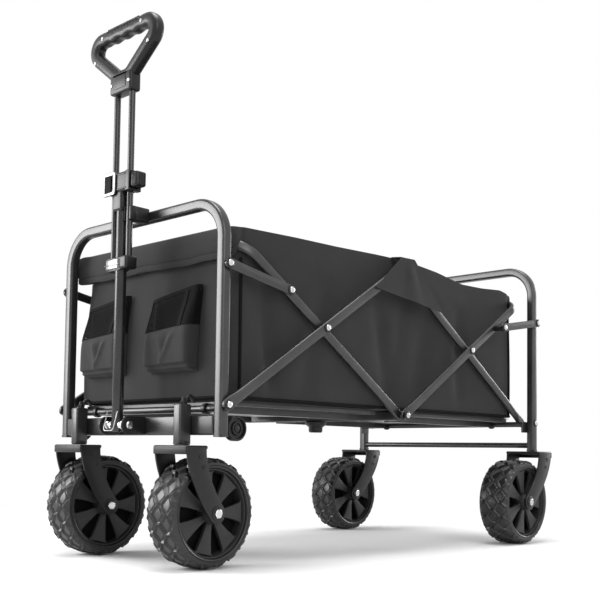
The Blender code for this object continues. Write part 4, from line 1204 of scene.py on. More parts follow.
@dataclass
class Handle:
    """The pull handle: hinge, tube, sliding rods, collars, release block, dock and grip."""

    p: Layout
    pivot_z: float = 0.229
    cheek: tuple = (0.015, 0.004)  # radius, thickness
    pin: tuple = (0.004, 0.031)  # radius, half length
    sleeve: tuple = ((0.004, 0.0106), (0.0072, 0.0106), (0.0072, 0.0150), (0.0062, 0.0165), (0.0062, 0.0235),
                     (0.0072, 0.0250), (0.0072, 0.0288), (0.004, 0.0288))
    bail_half: float = 0.0135
    bail_top: tuple = (0.010, 0.252)  # in front of the pivot, height
    bail_low: tuple = (0.0185, 0.2195)
    bail_up: tuple = (0.967, 0, 0.253)
    tube: float = 0.0095
    rod: float = 0.0055
    spread: float = 0.0205
    pocket: float = 0.0070
    lip: tuple = (0.0028, 0.0042, 0.0018)  # width at the sides, height at the ends, overlap
    band: tuple = (0.0006, 0.003)  # how proud it stands, height
    skirt: tuple = (0.0122, 0.0135, 0.031)  # half length, half width, drop
    buckle_y: tuple = (0.004, 0.0325)
    rib_steps: tuple = (0.0036, 0.0032)  # on the outer face, on the front face
    split_y: float = -0.0105
    bar: float = 0.0115
    upper_half: float = 0.063
    upper_bend: float = 0.019
    lower_half: float = 0.0060
    lower_bend: float = 0.0240
    neck_height: float = 0.041
    neck_drop: float = 0.0050
    neck_half: float = 0.029
    neck_depth: float = 0.0115
    ring_step: float = 0.003
    ring_corner: float = 0.0088
    wave: tuple = (0.13, 0.0150)  # share of the bar, half length
    wave_depth: tuple = (0.024, 0.010)  # below the grip's top, blend
    wave_reach: tuple = (0.060, 0.014)  # from the grip's middle, blend
    rib_pitch: float = 0.0042
    panel: tuple = (0.016, 0.007, 0.029)  # half width, lower and upper edge on the neck
    screw: tuple = ((0, 0.0004), (0.0032, 0.0004), (0.0032, -0.0008), (0.0023, -0.0015), (0.0009, -0.0015),
                    (0.0008, -0.0008), (0, -0.0008))
    screw_places: tuple = ((0.054, 0.108), (0.0740, 0.069), (0.024, 0.0155))  # to a side, above the neck

    def __post_init__(self) -> None:
        """Reads the handle's place and the grip's height."""
        self.x = self.p.handle_x
        low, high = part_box("grip")
        self.neck_low = low[2]
        self.grip_top = high[2]

    def hinge(self) -> None:
        """The hinge bracket with its two bright sleeves, wire bail and bolt."""
        low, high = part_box("handle_bracket")
        axis = (self.x, 0, self.pivot_z)
        radius, thick = self.cheek
        loop = [(high[0] - 0.001, low[2]), (high[0] - 0.001, high[2])]
        loop += [(self.x + radius * math.cos(a), self.pivot_z + radius * math.sin(a))
                 for a in np.linspace(math.pi / 2, 3 * math.pi / 2, 17)]
        bracket = [block((high[0] - 0.003, low[1], low[2]), high, 0.0012)]
        sleeves, heads = [], []
        for side in (-1, 1):
            edges = sorted((side * high[1], side * (high[1] - thick)))
            bracket.append(bevelled(prism(loop, *edges), 0.0010))
            sleeves.append(lathe(facing(self.sleeve, side), axis))
            heads.append(fastener(self.x, side * (high[1] + 0.0004), self.pivot_z, side, 0.0066))
        piece("handle_hinge", joined(*bracket), PLASTIC, "front_frame", ["handle_bracket"])
        radius, reach = self.pin
        pin = joined(rod(radius, -reach, reach, axis, "Y", 16), *sleeves, *heads)
        piece("handle_hinge_pin", pin, ZINC, "front_frame", ["handle_pivot_pin"])
        bends = ((-1, self.bail_top), (-1, self.bail_low), (1, self.bail_low), (1, self.bail_top))
        corners = [(self.x - ahead, side * self.bail_half, z) for side, (ahead, z) in bends]
        bail = sweep(bent(corners, 0.006, 8), rounded(0.0018, 0.0018, 0.0008, 3), self.bail_up)
        piece("handle_hinge_bail", bail, CHROME, "handle")

    def tubes(self) -> None:
        """The main tube and the two sliding rods beside it."""
        low, high = (corner[2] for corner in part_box("handle_tube"))
        profile = [(0, low), (self.tube - 0.0005, low), (self.tube, low + 0.0008), (self.tube, high),
                   (0, high)]
        mesh = lathe(profile, (self.x, 0, 0), "Z", 36)
        piece("handle_tube_round", mesh, TUBE, "handle", ["handle_tube"])
        for side, hand in LEFT_RIGHT:
            node = f"slide_rod_{hand}"
            low, high = (corner[2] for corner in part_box(node))
            mesh = rod(self.rod, low, high, (self.x, side * self.spread, 0), "Z")
            piece(f"{node}_round", mesh, TUBE, "handle_slider", [node])

    def collars(self) -> None:
        """The two collars and what sits on or beside them."""
        self._upper_collar()
        self._release()
        self._lower_collar()
        self._dock()

    def _upper_collar(self) -> None:
        """The upper collar with the release block's pocket, its skirt and its buckle."""
        (x0, y0, z0), (x1, y1, z1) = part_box("upper_collar")
        mouth = y0 + self.pocket
        wide, tall, inset = self.lip
        proud, high = self.band
        parts = [block((x0, mouth - 0.0006, z0), (x1, y1, z1), 0.0045, 4)]
        half_x, half_y, drop = self.skirt
        parts.append(block((self.x - half_x, -half_y, z0 - drop),
                           (self.x + half_x, half_y, z0 + 0.004), 0.0050, 4))
        for xa, za, xb, zb in ((x0, z0, x0 + wide, z1), (x1 - wide, z0, x1, z1),
                               (x0 + inset, z0, x1 - inset, z0 + tall),
                               (x0 + inset, z1 - tall, x1 - inset, z1)):
            parts.append(block((xa, y0, za), (xb, mouth + 0.004, zb), 0.0010))
        for z in (z0 + high, z1 - 2 * high):
            parts.append(block((x0 - proud, y0 + 0.008, z), (x1 + proud, y1 + proud, z + high), 0.0010))
        piece("upper_collar_shell", joined(*parts), PLASTIC, "handle", ["upper_collar"])
        x, low, top = x0 - 0.0016, z0 - 0.001, z1 - 0.001
        near, far = self.buckle_y
        corners = [(x, near, low), (x, far, low), (x, far, top), (x, near, top)]
        path = bent(corners + corners[:2], 0.003, 4)[1:-2]
        buckle = sweep(path, rounded(0.0060, 0.0034, 0.0010, 3), (1, 0, 0), closed=True)
        piece("collar_buckle", buckle, CHROME, "handle")
        # Painted shade: a near-black plate inside the buckle's frame stands for the shade in its hole.
        plate = block((x - 0.0004, 0.0140, z0 + 0.001), (x + 0.0022, 0.0330, z1 - 0.003), 0.0008)
        piece("collar_buckle_plate", plate, PAINTED_SHADE, "handle")

    def _release(self) -> None:
        """The release block, with upright ribs on its two outer faces."""
        low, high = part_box("lock_button")
        base, top = low[2] + 0.002, high[2] - 0.002
        parts = [block(low, high, 0.0030)]
        for k in range(5):
            x = low[0] + 0.0022 + k * self.rib_steps[0]
            parts.append(block((x, low[1] - 0.0010, base), (x + 0.0019, low[1] + 0.004, top), 0.0006))
            y = low[1] + 0.0026 + min(k, 2) * self.rib_steps[1]
            parts.append(block((low[0] - 0.0010, y, base), (low[0] + 0.004, y + 0.0018, top), 0.0006))
        piece("lock_button_block", joined(*parts), PLASTIC, "lock_button", ["lock_button"])

    def _lower_collar(self) -> None:
        """The bright lower collar with a ridge round it and a dark tab beside it."""
        (x0, y0, z0), (x1, y1, z1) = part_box("slide_collar")
        split = self.split_y
        shell = block((x0, split, z0), (x1, y1, z1), 0.0055, 4)
        ridge = block((x0 - 0.0008, split - 0.0003, z0 + 0.0085),
                      (x1 + 0.0008, y1 + 0.0007, z0 + 0.0115), 0.0013)
        piece("slide_collar_shell", joined(shell, ridge), CHROME, "handle_slider", ["slide_collar"])
        tab = block((x0 + 0.0005, y0, z0 + 0.002), (x1 - 0.001, split + 0.0007, z1 + 0.0008), 0.0040, 4)
        piece("slide_collar_tab", tab, PLASTIC, "handle_slider")

    def _dock(self) -> None:
        """The clip on the frame that holds one of the rods."""
        low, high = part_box("dock_clip")
        room = self.rod + 0.0004
        parts = [block((self.x + 0.0060, low[1], low[2]), high, 0.0018)]
        for near, far in ((low[1], -self.spread - room), (-self.spread + room, high[1])):
            parts.append(block((low[0], near, low[2]), (self.x + 0.007, far, high[2]), 0.0016))
        piece("dock_clip_jaws", joined(*parts), PLASTIC, "front_frame", ["dock_clip"])

    def loop(self) -> list:
        """The grip ring's middle line.

        Returns:
            Its (y, z) pairs, once round.
        """
        crown = self.grip_top - self.bar
        top = crown - self.upper_bend
        low = self.neck_low + self.neck_height - self.bar + self.lower_bend
        out, down = self.upper_half - self.lower_half, top - low
        lean = math.atan2(out, down) + math.asin((self.upper_bend - self.lower_bend) / math.hypot(out, down))
        half = [(y, crown) for y in np.linspace(0, self.upper_half, 8)[:-1]]
        for y, z, radius, start, stop, count in (
                (self.upper_half, top, self.upper_bend, math.pi / 2, -lean, 16),
                (self.lower_half, low, self.lower_bend, -lean, -math.pi / 2, 12)):
            half += [(y + radius * math.cos(a), z + radius * math.sin(a))
                     for a in np.linspace(start, stop, count)]
        return half + [(-y, z) for y, z in reversed(half[1:])]

    def grip(self) -> None:
        """The closed grip: a padded ring with finger waves, a ribbed top and a flat screwed neck."""
        line = self.loop()
        path, scales = [], []
        closed = line + line[:1]
        deep, length = self.wave
        (depth, fade), (reach, blend) = self.wave_depth, self.wave_reach
        for (ya, za), (yb, zb) in zip(closed, closed[1:]):
            steps = max(1, int(math.hypot(yb - ya, zb - za) / self.ring_step))
            for i in range(steps):
                y, z = ya + (yb - ya) * i / steps, za + (zb - za) * i / steps
                path.append(Vector((self.x, y, z)))
                upper = ease((z - self.grip_top + depth) / fade) * ease((reach - abs(y)) / blend)
                scales.append((1.0 + deep * upper * math.cos(y / length * math.pi), 1.0))
        section = rounded(2 * self.bar, 2 * self.bar, self.ring_corner, 6)
        ring = sweep(path, section, (1, 0, 0), scales, closed=True)
        neck_top = self.neck_low + self.neck_height - self.neck_drop
        neck = block((self.x - self.neck_depth, -self.neck_half, self.neck_low),
                     (self.x + self.neck_depth, self.neck_half, neck_top), 0.0040, 4)
        piece("grip_ring", joined(ring, neck), PLASTIC, "handle_slider", ["grip"], 40)
        self._grip_details()

    def _grip_details(self) -> None:
        """The ribs on top of the grip, and the panel and screws on its front."""
        front, top, ribs = self.x - self.bar, self.grip_top, []
        for k in range(-10, 11):
            y = k * self.rib_pitch
            ribs.append(block((front - 0.0004, y - 0.0010, top - 0.0125),
                              (front + 0.004, y + 0.0010, top - 0.0045), 0.0005))
            ribs.append(block((self.x - 0.0080, y - 0.0012, top - 0.0045),
                              (self.x + 0.0080, y + 0.0012, top + 0.0003), 0.0006))
        piece("grip_top_ribs", joined(*ribs), PLASTIC, "handle_slider")
        face = self.x - self.neck_depth
        half, low, high = self.panel
        panel = block((face - 0.0007, -half, self.neck_low + low),
                      (face + 0.002, half, self.neck_low + high), 0.0006)
        piece("grip_neck_panel", panel, PLASTIC, "handle_slider")
        screws = [lathe(self.screw, (face + 0.0002, side * y, self.neck_low + rise), "X", 16)
                  for y, rise in self.screw_places for side in (-1, 1)]
        piece("grip_screws", joined(*screws), ZINC, "handle_slider")


@dataclass
class Tub:
    """The fabric tub: one sagging shell with a rolled hem, flaps, pockets, bindings and floor mats."""

    p: Layout
    half_length: float = 0.418
    half_width: float = 0.2045
    corner: float = 0.022
    bottom: float = 0.2715
    cloth: float = 0.0016
    keep: float = 0.285
    top_x: tuple = (-0.445, -0.375, -0.280, -0.1755, -0.061, 0.035, 0.133, 0.223, 0.300, 0.373, 0.410)
    top_height: tuple = (0.5480, 0.5500, 0.5534, 0.5554, 0.5595, 0.5614, 0.5543, 0.5424, 0.5444, 0.5500,
                         0.5440)
    bulge: float = 0.006
    foot_front: float = 0.014
    foot_rear: float = 0.010
    fold_z: float = 0.40
    end_start: float = 0.40
    end_blend: float = 0.55
    hem_low: float = 0.497
    hem_side: float = 0.022
    hem_front: float = 0.0145
    hem_rear: float = 0.0110
    hem_seam: float = 0.0122
    hem_in_side: float = 0.0040
    hem_in_end: float = 0.0070
    ear_out: float = 0.0180
    ear_drop: float = 0.006
    cord: float = 0.0027
    cord_turn: float = 62.0
    flap_fold: float = 0.18
    flap_half: float = 0.0200
    flap_spread: float = 0.0855
    flap_crest: float = 0.5580
    flap_low: float = 0.4785
    flap_slant: float = 0.0115
    flap_y: tuple = (0.2060, 0.2325)  # inside the tub, outside the arms
    flap_crease: float = 0.0020
    pocket_spans: tuple = (("left", (-0.134, -0.012)), ("right", (0.056, 0.172)))
    pocket_top: float = 0.461
    pocket_slant: float = 0.018
    pocket_low: float = 0.318
    pocket_mouth: float = 0.47
    pocket_rise: float = 0.011
    pocket_belly: float = 0.014
    pocket_tuck: float = 0.006
    pocket_ripple: float = 0.0016
    # Each crease: place across, slope, width and height. Each strip: its ends across and down.
    creases: tuple = ((0.30, 0.55, 0.045, 0.0030), (0.62, -0.35, 0.05, 0.0022), (0.45, 0.1, 0.03, -0.0018))
    strips: tuple = ((0.0, 1.0, 0.0, 0.045), (0.02, 0.13, 0.04, 0.47), (0.17, 0.25, 0.04, 0.47),
                     (0.95, 0.99, 0.04, 0.47))
    mat_half: float = 0.2028
    mat_gap: float = 0.0008
    mat_narrow: float = 0.0045
    mat_puff: float = 0.0030
    mat_seam: float = 0.0012
    mat_seam_y: float = 0.128
    mat_seam_half: float = 0.010
    mat_edge: float = 0.012
    mat_least: float = 0.0004
    mat_lift: tuple = (0.034, 0.014)  # reach from the middle beam, blend
    mat_taper: tuple = (0.20, 0.05)

    def __post_init__(self) -> None:
        """Draws the folds once."""
        dice = np.random.default_rng(7)
        self.folds = [(dice.uniform(-0.36, 0.36), dice.uniform(-0.35, 0.35), dice.uniform(0.012, 0.032),
                       dice.uniform(-0.0080, 0.0010), (-1, 1)[i % 2]) for i in range(26)]
        self.end_folds = [(dice.uniform(-0.17, 0.17), dice.uniform(-0.25, 0.25), dice.uniform(0.010, 0.024),
                           dice.uniform(-0.005, 0.003), (-1, 1)[i % 2]) for i in range(14)]

    def soft(self, name: str, mesh: Mesh, finish: Finish, nodes: Iterable[str] = (),
             thick: float = 0.0) -> bpy.types.Object:
        """A piece of the tub, riding on the bag's body with a mesh of its own.

        Args:
            name: Name of the piece.
            mesh: Vertices and faces.
            finish: Its finish.
            nodes: The solids it stands for.
            thick: Thickness given to an open sheet.

        Returns:
            The object.
        """
        obj = piece(name, mesh, finish, "bag", nodes, 50.0, thick)
        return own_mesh(obj)

    def ring(self, sides: int = 90, ends: int = 54, corners: int = 12) -> list:
        """The tub's outline seen from above.

        Args:
            sides: Points along each side.
            ends: Points along each end.
            corners: Points round each corner.

        Returns:
            For each place x from the middle, y, and the outward direction.
        """
        a, b, r = self.half_length, self.half_width, self.corner
        lines = {-90: [(a, y, 1.0, 0.0) for y in np.linspace(-b + r, b - r, ends)[:-1]],
                 0: [(x, b, 0.0, 1.0) for x in np.linspace(a - r, -a + r, sides)[:-1]],
                 90: [(-a, y, -1.0, 0.0) for y in np.linspace(b - r, -b + r, ends)[:-1]], 180: []}
        out = [(x, -b, 0.0, -1.0) for x in np.linspace(-(a - r), a - r, sides)[:-1]]
        for ex, ey, start in ((1, -1, -90), (1, 1, 0), (-1, 1, 90), (-1, -1, 180)):
            for t in np.linspace(start, start + 90, corners)[:-1]:
                c, s = math.cos(math.radians(t)), math.sin(math.radians(t))
                out.append((ex * (a - r) + r * c, ey * (b - r) + r * s, c, s))
            out += lines[start]
        return out

    def top(self, x: float) -> float:
        """Height of the tub's edge at x from the middle."""
        return float(np.interp(x, self.top_x, self.top_height))

    def swell(self, x: float, y: float, nx: float, ny: float, z: float) -> float:
        """How far the wall stands out from its outline at a place.

        Args:
            x: Place from the tub's middle.
            y: Place across the wagon.
            nx: Outward direction along the wagon.
            ny: Outward direction across it.
            z: Height.

        Returns:
            The distance.
        """
        t = min(1.0, max(0.0, (z - self.bottom) / (self.hem_low - self.bottom)))
        arch = math.sin(math.pi * t)
        foot = self.foot_front if nx < 0 else self.foot_rear
        out = nx * nx * (self.bulge * arch + foot * (1 - t))
        folds, place, normal = (self.end_folds, y, nx) if nx * nx > 0.5 else (self.folds, x, ny)
        for where, slope, wide, deep, hand in folds:
            if normal * hand > 0:
                d = (place - where - slope * (z - self.fold_z)) / wide
                out += deep * math.exp(-d * d) * arch ** 0.6 * normal ** 2
        return out

    def on_wall(self, place: tuple, out: float, z: float) -> tuple:
        """Coordinates of a point that stands out from a place of the ring, at height z."""
        x, y, nx, ny = place
        return self.p.middle_x + x + nx * out, y + ny * out, z

    def _hem(self, low: float, height: float, out: float, w: float, y: float) -> list:
        """The hem's section over a wall.

        Args:
            low: Height of its lower edge.
            height: Height of its upper edge.
            out: How far it stands out.
            w: 1 at the tub's ends and 0 at its sides.
            y: Its place across the wagon.

        Returns:
            Pairs of distance outwards and height.
        """
        inner = -self.hem_in_side - self.hem_in_end * w
        seam, span = low + self.hem_seam, height - low
        rest = span - self.hem_seam
        sag = (0.0011 * math.sin(y * 31 + 1) + 0.0005 * math.sin(y * 83)) * w
        edge = ((0.80, low), (0.95, low + 0.0018), (0.97, low + 0.0095), (0.86, low + 0.0108), (0.98, seam),
                (1.06, seam + 0.25 * rest))
        return [(out * 0.45, low - 0.0008 + 0.0028 * w), *((out * share, z + sag) for share, z in edge),
                (out * 1.02, seam + 0.5 * rest), (out * 0.93, height - 0.0040), (out * 0.70, height - 0.0008),
                (out * 0.20, height), (inner * 0.8, height - 0.0015), (inner, height - 0.0065),
                (inner, low + 0.3 * span), (inner * 0.8, low)]

    def shell(self) -> None:
        """The walls with their hem, from one loft that runs round the tub."""
        rows = []
        for place in self.ring():
            x, y, nx, ny = place
            w = ease((abs(nx) - self.end_start) / self.end_blend)
            height = self.top(x)
            ear = 4 * (nx * ny) ** 2 if nx < 0 < ny else 0.0
            low = self.hem_low * w + (height - self.hem_side) * (1 - w) - self.ear_drop * ear
            out = (self.hem_front if nx < 0 else self.hem_rear) * w + self.ear_out * ear
            wall = np.linspace(self.bottom, low - 0.0015 + 0.0055 * w, 24)
            line = [(self.swell(*place, z), z) for z in wall] + self._hem(low, height, out, w, y)
            rows.append([self.on_wall(place, o, z) for o, z in line])
        nodes = [f"bag_panel_{word}" for word in ("left", "right", "front", "rear")]
        obj = self.soft("tub_shell", grid(np.array(rows), closed=True), CLOTH, nodes, self.cloth)
        self.bindings()

    def bindings(self) -> None:
        """Round black bindings up the four corners and along the lower edge."""
        circle = [(self.cord * math.cos(a), self.cord * math.sin(a))
                  for a in np.linspace(0, math.tau, 10, endpoint=False)]
        start = self.bottom + 0.002
        turn, r = math.radians(self.cord_turn), self.corner
        cords = []
        for ex in (-1, 1):
            for ey in (-1, 1):
                nx, ny = ex * math.cos(turn), ey * math.sin(turn)
                place = (ex * (self.half_length - r) + r * nx, ey * (self.half_width - r) + r * ny, nx, ny)
                path = [Vector(self.on_wall(place, self.swell(*place, z) + 0.0014, z))
                        for z in np.linspace(start, self.hem_low + 0.002, 18)]
                cords.append(sweep(path, circle, (-ny, nx, 0)))
        path = [Vector(self.on_wall(place, self.swell(*place, start) + 0.0008, start))
                for place in self.ring(40, 24, 8)]
        cords.append(sweep(path, circle, (0, 0, 1), closed=True))
        self.soft("tub_bindings", joined(*cords), PIPING)

    def flap_point(self, u: float, v: float) -> tuple:
        """A place on the flap of the right side.

        Args:
            u: Place along it, from -1 to 1.
            v: Share of the way down it.

        Returns:
            Its coordinates.
        """
        over = min(1.0, v / self.flap_fold)
        fall = max(0.0, (v - self.flap_fold) / (1 - self.flap_fold))
        half = self.flap_half + self.flap_spread * fall
        x = 0.0010 + 0.0070 * fall + u * half
        crest = self.flap_crest + 0.0006 * u
        drop = crest - self.flap_low + self.flap_slant * u
        z = (self.top(x) + 0.0008) * (1 - over) + crest * over - drop * fall
        inner, outer = self.flap_y
        y = inner + (outer - inner) * math.sin(over * math.pi / 2)
        fan = math.atan2(u * half, 0.02 + 0.10 * v)
        y += self.flap_crease * max(0.0, math.sin(fan * 6 + 0.9)) * ease(fall / 0.4) + 0.0008 * fall
        return self.p.middle_x + x, y, z

    def flaps(self) -> None:
        """The two flaps that lie over the top pivots, creased from their upper edge."""
        points = np.array([[self.flap_point(u, v) for v in np.linspace(0, 1, 26)]
                           for u in np.linspace(-1, 1, 29)])
        for side, hand in LEFT_RIGHT:
            mesh = grid(points * (1, side, 1))
            obj = self.soft(f"tub_flap_{hand}", mesh, CLOTH, [f"bag_flap_{hand}"], self.cloth)

    def pocket_point(self, span: tuple, u: float, v: float, lift: float = 0.0) -> tuple:
        """A place on a front pocket.

        Args:
            span: The pocket's ends across the wagon.
            u: Share of the way across.
            v: Share of the way down.
            lift: Distance out of the cloth.

        Returns:
            Its coordinates.
        """
        y = span[0] + (span[1] - span[0]) * u
        top = self.pocket_top - self.pocket_slant * u
        z = top - (top - self.pocket_low) * v
        wall = -self.half_length - self.swell(-self.half_length, y, -1.0, 0.0, z)
        deep = self.pocket_rise + self.pocket_belly * ease(v / 0.6)
        deep -= self.pocket_tuck * ease((v - 0.90) / 0.02)
        deep *= 1 - 0.9 * ease((v - 0.955) / 0.045)
        body = (1 - abs(2 * u - 1) ** 12) ** 0.5
        crease = self.pocket_ripple * max(0.0, math.sin(8 * u + 5 * v)) * ease((v - 0.48) / 0.1)
        for where, slope, wide, high in self.creases:
            d = (u - where - slope * (v - 0.48)) / wide
            crease += high * math.exp(-d * d) * ease((v - 0.49) / 0.12) * (1 - ease((v - 0.85) / 0.1))
        return self.p.middle_x + wall - self.cloth - deep * body - crease * body - lift, y, z

    def pocket_sheet(self, span: tuple, across: tuple, down: tuple, lift: float = 0.0) -> Mesh:
        """A sheet over part of a front pocket.

        Args:
            span: The pocket's ends across the wagon.
            across: Its first and last share of the way across.
            down: Its first and last share of the way down, and its points that way.
            lift: Distance out of the cloth.

        Returns:
            Vertices and faces.
        """
        return grid(np.array([[self.pocket_point(span, u, v, lift) for v in np.linspace(*down)]
                              for u in np.linspace(*across, 41)]))

    def pockets(self) -> None:
        """The two front pockets: a net pane above a fabric pouch with a folded lower edge."""
        for hand, span in self.pocket_spans:
            node = f"front_pocket_{hand}"
            mesh = self.pocket_sheet(span, (0, 1), (self.pocket_mouth, 1, 60))
            obj = self.soft(f"{node}_pouch", mesh, CLOTH, [node], self.cloth)
            mesh = self.pocket_sheet(span, (0, 1), (0.02, self.pocket_mouth + 0.005, 20))
            pane = self.soft(f"{node}_net", mesh, NET)
            strips = [self.pocket_sheet(span, (left, right), (first, last, 6), 0.0011)
                      for left, right, first, last in self.strips]
            self.soft(f"{node}_elastic", joined(*strips), PIPING, (), 0.0010)

    def mats(self) -> None:
        """A quilted mat on each floor board, reaching over the middle beam to meet the other."""
        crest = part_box("middle_beam")[1][2] + 0.0004
        for word, hand in (("front", -1), ("rear", 1)):
            low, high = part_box(f"floor_board_{word}")
            meet = self.p.middle_x + hand * self.mat_gap
            near, far = (low[0] + 0.003, meet) if hand < 0 else (meet, high[0] - 0.003)
            rows, under = [], []
            for x in np.linspace(near, far, 49):
                away = abs(x - self.p.middle_x)
                reach, blend = self.mat_lift
                floor = high[2] + 0.0002 + (crest - high[2]) * ease((reach - away) / blend)
                reach, blend = self.mat_taper
                half = self.mat_half - self.mat_narrow * ease((reach - away) / blend)
                line = []
                for y in np.linspace(-half, half, 49):
                    edge = min(x - near, far - x, half - abs(y))
                    seam = min(abs(y), abs(abs(y) - self.mat_seam_y))
                    puff = self.mat_puff * ease(edge / self.mat_edge)
                    puff -= self.mat_seam * (1 - ease(seam / self.mat_seam_half))
                    line.append((x, y, floor + 0.0002 + max(self.mat_least, puff)))
                rows.append(line)
                under.append([(x, y, floor) for x, y, _ in line])
            mesh = joined(grid(np.array(rows)), grid(np.array(under)[::-1]))
            obj = piece(f"floor_mat_{word}", mesh, CLOTH, f"floor_{word}", (), 50)


@dataclass
class Studio:
    """Floor, light, backdrop and camera."""

    camera_place: tuple = (-1.422, -1.315, 0.188)
    yaw: float = 43.18
    pitch: float = 3.13
    roll: float = 0.77
    lens: float = 57.35
    sensor: float = 36.0
    shift: float = 100 / 600
    floor_reach: float = 40.0
    floor_z: float = -0.0004
    floor_grey: float = 0.86
    floor_fade: tuple = (0.55, 1.5)
    ambient: float = 0.62
    lights: tuple = (("front_softbox", (-1.50, 1.12, 0.80), (-0.33, -0.03, 0.45), 1.0, 34.0),
                     ("near_softbox", (-1.2, -3.6, 2.4), (0, 0, 0.3), 2.4, 50.0),
                     ("rear_softbox", (3.2, -0.5, 1.1), (0, -0.2, 0.4), 1.0, 30.0),
                     ("top_softbox", (-0.3, -0.2, 3.2), (0, 0, 0.3), 1.5, 75.0))

    def floor(self) -> None:
        """A pale floor that fades to plain white away from the wagon."""
        data = bpy.data.meshes.new("studio_floor")
        corners = [(x * self.floor_reach, y * self.floor_reach, self.floor_z)
                   for x, y in ((-1, -1), (1, -1), (1, 1), (-1, 1))]
        data.from_pydata(corners, [], [(0, 1, 2, 3)])
        obj = bpy.data.objects.new("studio_floor", data)
        bpy.context.scene.collection.objects.link(obj)
        mat = bpy.data.materials.new("studio_floor")
        mat.use_nodes = True
        tree = mat.node_tree
        shader = tree.nodes["Principled BSDF"]
        shader.inputs["Base Color"].default_value = (*[self.floor_grey] * 3, 1)
        shader.inputs["Roughness"].default_value = 0.9
        shader.inputs["Specular IOR Level"].default_value = 0.1
        glow = tree.nodes.new("ShaderNodeEmission")
        glow.inputs["Strength"].default_value = 1.0
        mix = tree.nodes.new("ShaderNodeMixShader")
        place = tree.nodes.new("ShaderNodeNewGeometry")
        length = tree.nodes.new("ShaderNodeVectorMath")
        length.operation = "LENGTH"
        tree.links.new(place.outputs["Position"], length.inputs[0])
        fade = tree.nodes.new("ShaderNodeMapRange")
        fade.interpolation_type = "SMOOTHSTEP"
        for label, reach in zip(("From Min", "From Max"), self.floor_fade):
            fade.inputs[label].default_value = reach
        tree.links.new(length.outputs["Value"], fade.inputs["Value"])
        tree.links.new(fade.outputs["Result"], mix.inputs["Fac"])
        tree.links.new(shader.outputs["BSDF"], mix.inputs[1])
        tree.links.new(glow.outputs["Emission"], mix.inputs[2])
        tree.links.new(mix.outputs["Shader"], tree.nodes["Material Output"].inputs["Surface"])
        data.materials.append(mat)

    def backdrop(self) -> None:
        """A white world for the camera and for reflections, dimmer as a light."""
        world = bpy.data.worlds.new("studio")
        bpy.context.scene.world = world
        world.use_nodes = True
        tree = world.node_tree
        back = tree.nodes["Background"]
        back.inputs["Color"].default_value = (1, 1, 1, 1)
        path = tree.nodes.new("ShaderNodeLightPath")
        seen = Effects.math(tree, "MAXIMUM", path.outputs["Is Camera Ray"], path.outputs["Is Glossy Ray"])
        seen = Effects.math(tree, "MAXIMUM", seen, path.outputs["Is Transmission Ray"])
        rest = Effects.math(tree, "MULTIPLY", Effects.math(tree, "SUBTRACT", 1.0, seen), self.ambient)
        tree.links.new(Effects.math(tree, "ADD", seen, rest), back.inputs["Strength"])

    @staticmethod
    def softbox(name: str, place: Point, aim: Point, size: float, power: float) -> None:
        """A square soft light.

        Args:
            name: Name of the light.
            place: Where it stands.
            aim: What it points at.
            size: Length of its side.
            power: Its power in watts.
        """
        data = bpy.data.lights.new(name, "AREA")
        data.size = size
        data.energy = power
        obj = bpy.data.objects.new(name, data)
        obj.location = place
        obj.rotation_mode = "QUATERNION"
        obj.rotation_quaternion = (Vector(aim) - Vector(place)).to_track_quat("-Z", "Y")
        bpy.context.scene.collection.objects.link(obj)

    def camera(self) -> None:
        """The camera at the photograph's view."""
        yaw, pitch, roll = (math.radians(v) for v in (self.yaw, self.pitch, self.roll))
        ahead = Vector((math.cos(yaw) * math.cos(pitch), math.sin(yaw) * math.cos(pitch), math.sin(pitch)))
        right = Vector((math.sin(yaw), -math.cos(yaw), 0))
        up = right.cross(ahead)
        tilted = right * math.cos(roll) + up * math.sin(roll)
        up = tilted.cross(ahead)
        data = bpy.data.cameras.new("camera")
        data.lens = self.lens
        data.sensor_width = self.sensor
        data.shift_y = self.shift
        data.clip_end = 100.0
        obj = bpy.data.objects.new("camera", data)
        obj.matrix_world = Matrix((tilted, up, -ahead)).transposed().to_4x4()
        obj.location = self.camera_place
        bpy.context.scene.collection.objects.link(obj)
        bpy.context.scene.camera = obj

    def build(self) -> None:
        """Sets up the whole studio."""
        bpy.context.scene.view_settings.view_transform = "Standard"
        self.floor()
        self.backdrop()
        for light in self.lights:
            self.softbox(*light)
        self.camera()


@dataclass
class Wagon:
    """The whole wagon: every sub-assembly, dressed in order."""

    frame: dict
    places: Layout = Layout()
    front_fork: tuple = (0.042, 0.025, 0.0205)  # trail, lead, tail
    rear_fork: tuple = (-0.0786, 0.0144, 0.0416)
    front_wheel_y: float = 0.142
    rear_wheel_y: float = 0.2396

    def wheels(self) -> None:
        """Four wheels with their forks."""
        p = self.places
        wheel = Wheel()
        for side, hand in LEFT_RIGHT:
            y = side * self.front_wheel_y
            front = Fork(f"front_{hand}", f"caster_{hand}", p.stem_x, y, *self.front_fork)
            y = side * self.rear_wheel_y
            rear = Fork(f"rear_{hand}", "rear_frame", p.rear_x, y, *self.rear_fork)
            for fork in (front, rear):
                fork.dress()
                wheel.dress(fork.name, (fork.axle_x, fork.y, fork.axle_z))

    def carried(self) -> None:
        """The frame's finish on the solids that are shown as they are."""
        for name, node in self.frame["nodes"].items():
            if not node.hide_render:
                node.data.materials.clear()
                node.data.materials.append(POWDER.material())
                LOG.info("solid %s shown in %s", name, POWDER.name)

    def build(self) -> None:
        """Dresses every sub-assembly."""
        uprights, sides = Frame(self.places), Scissors(self.places)
        handle, tub = Handle(self.places), Tub(self.places)
        for dress in (uprights.uprights, uprights.crossbars, uprights.stems, uprights.rollers, uprights.foot,
                      sides.arms, sides.hoops, sides.links, self.wheels,
                      handle.hinge, handle.tubes, handle.collars, handle.grip,
                      tub.shell, tub.flaps, tub.pockets, tub.mats, self.carried):
            dress()


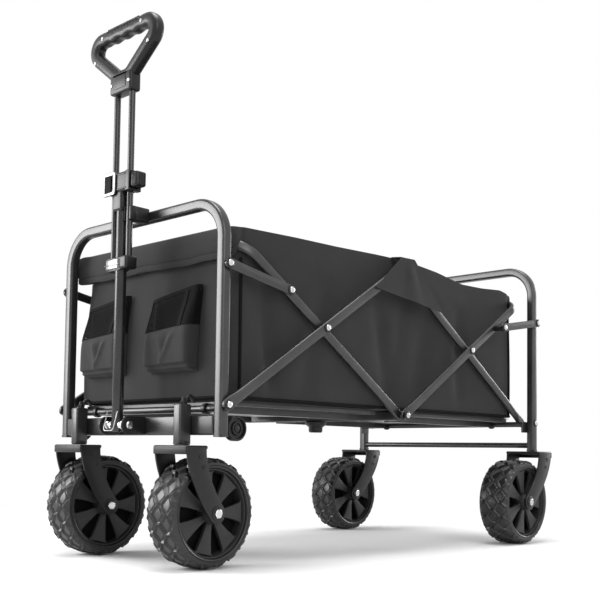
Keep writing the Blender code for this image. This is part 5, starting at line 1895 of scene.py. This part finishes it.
def main() -> None:
    """Builds the wagon and the studio."""
    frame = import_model()
    Wagon(frame).build()
    Studio().build()


if __name__ == "__main__":
    main()
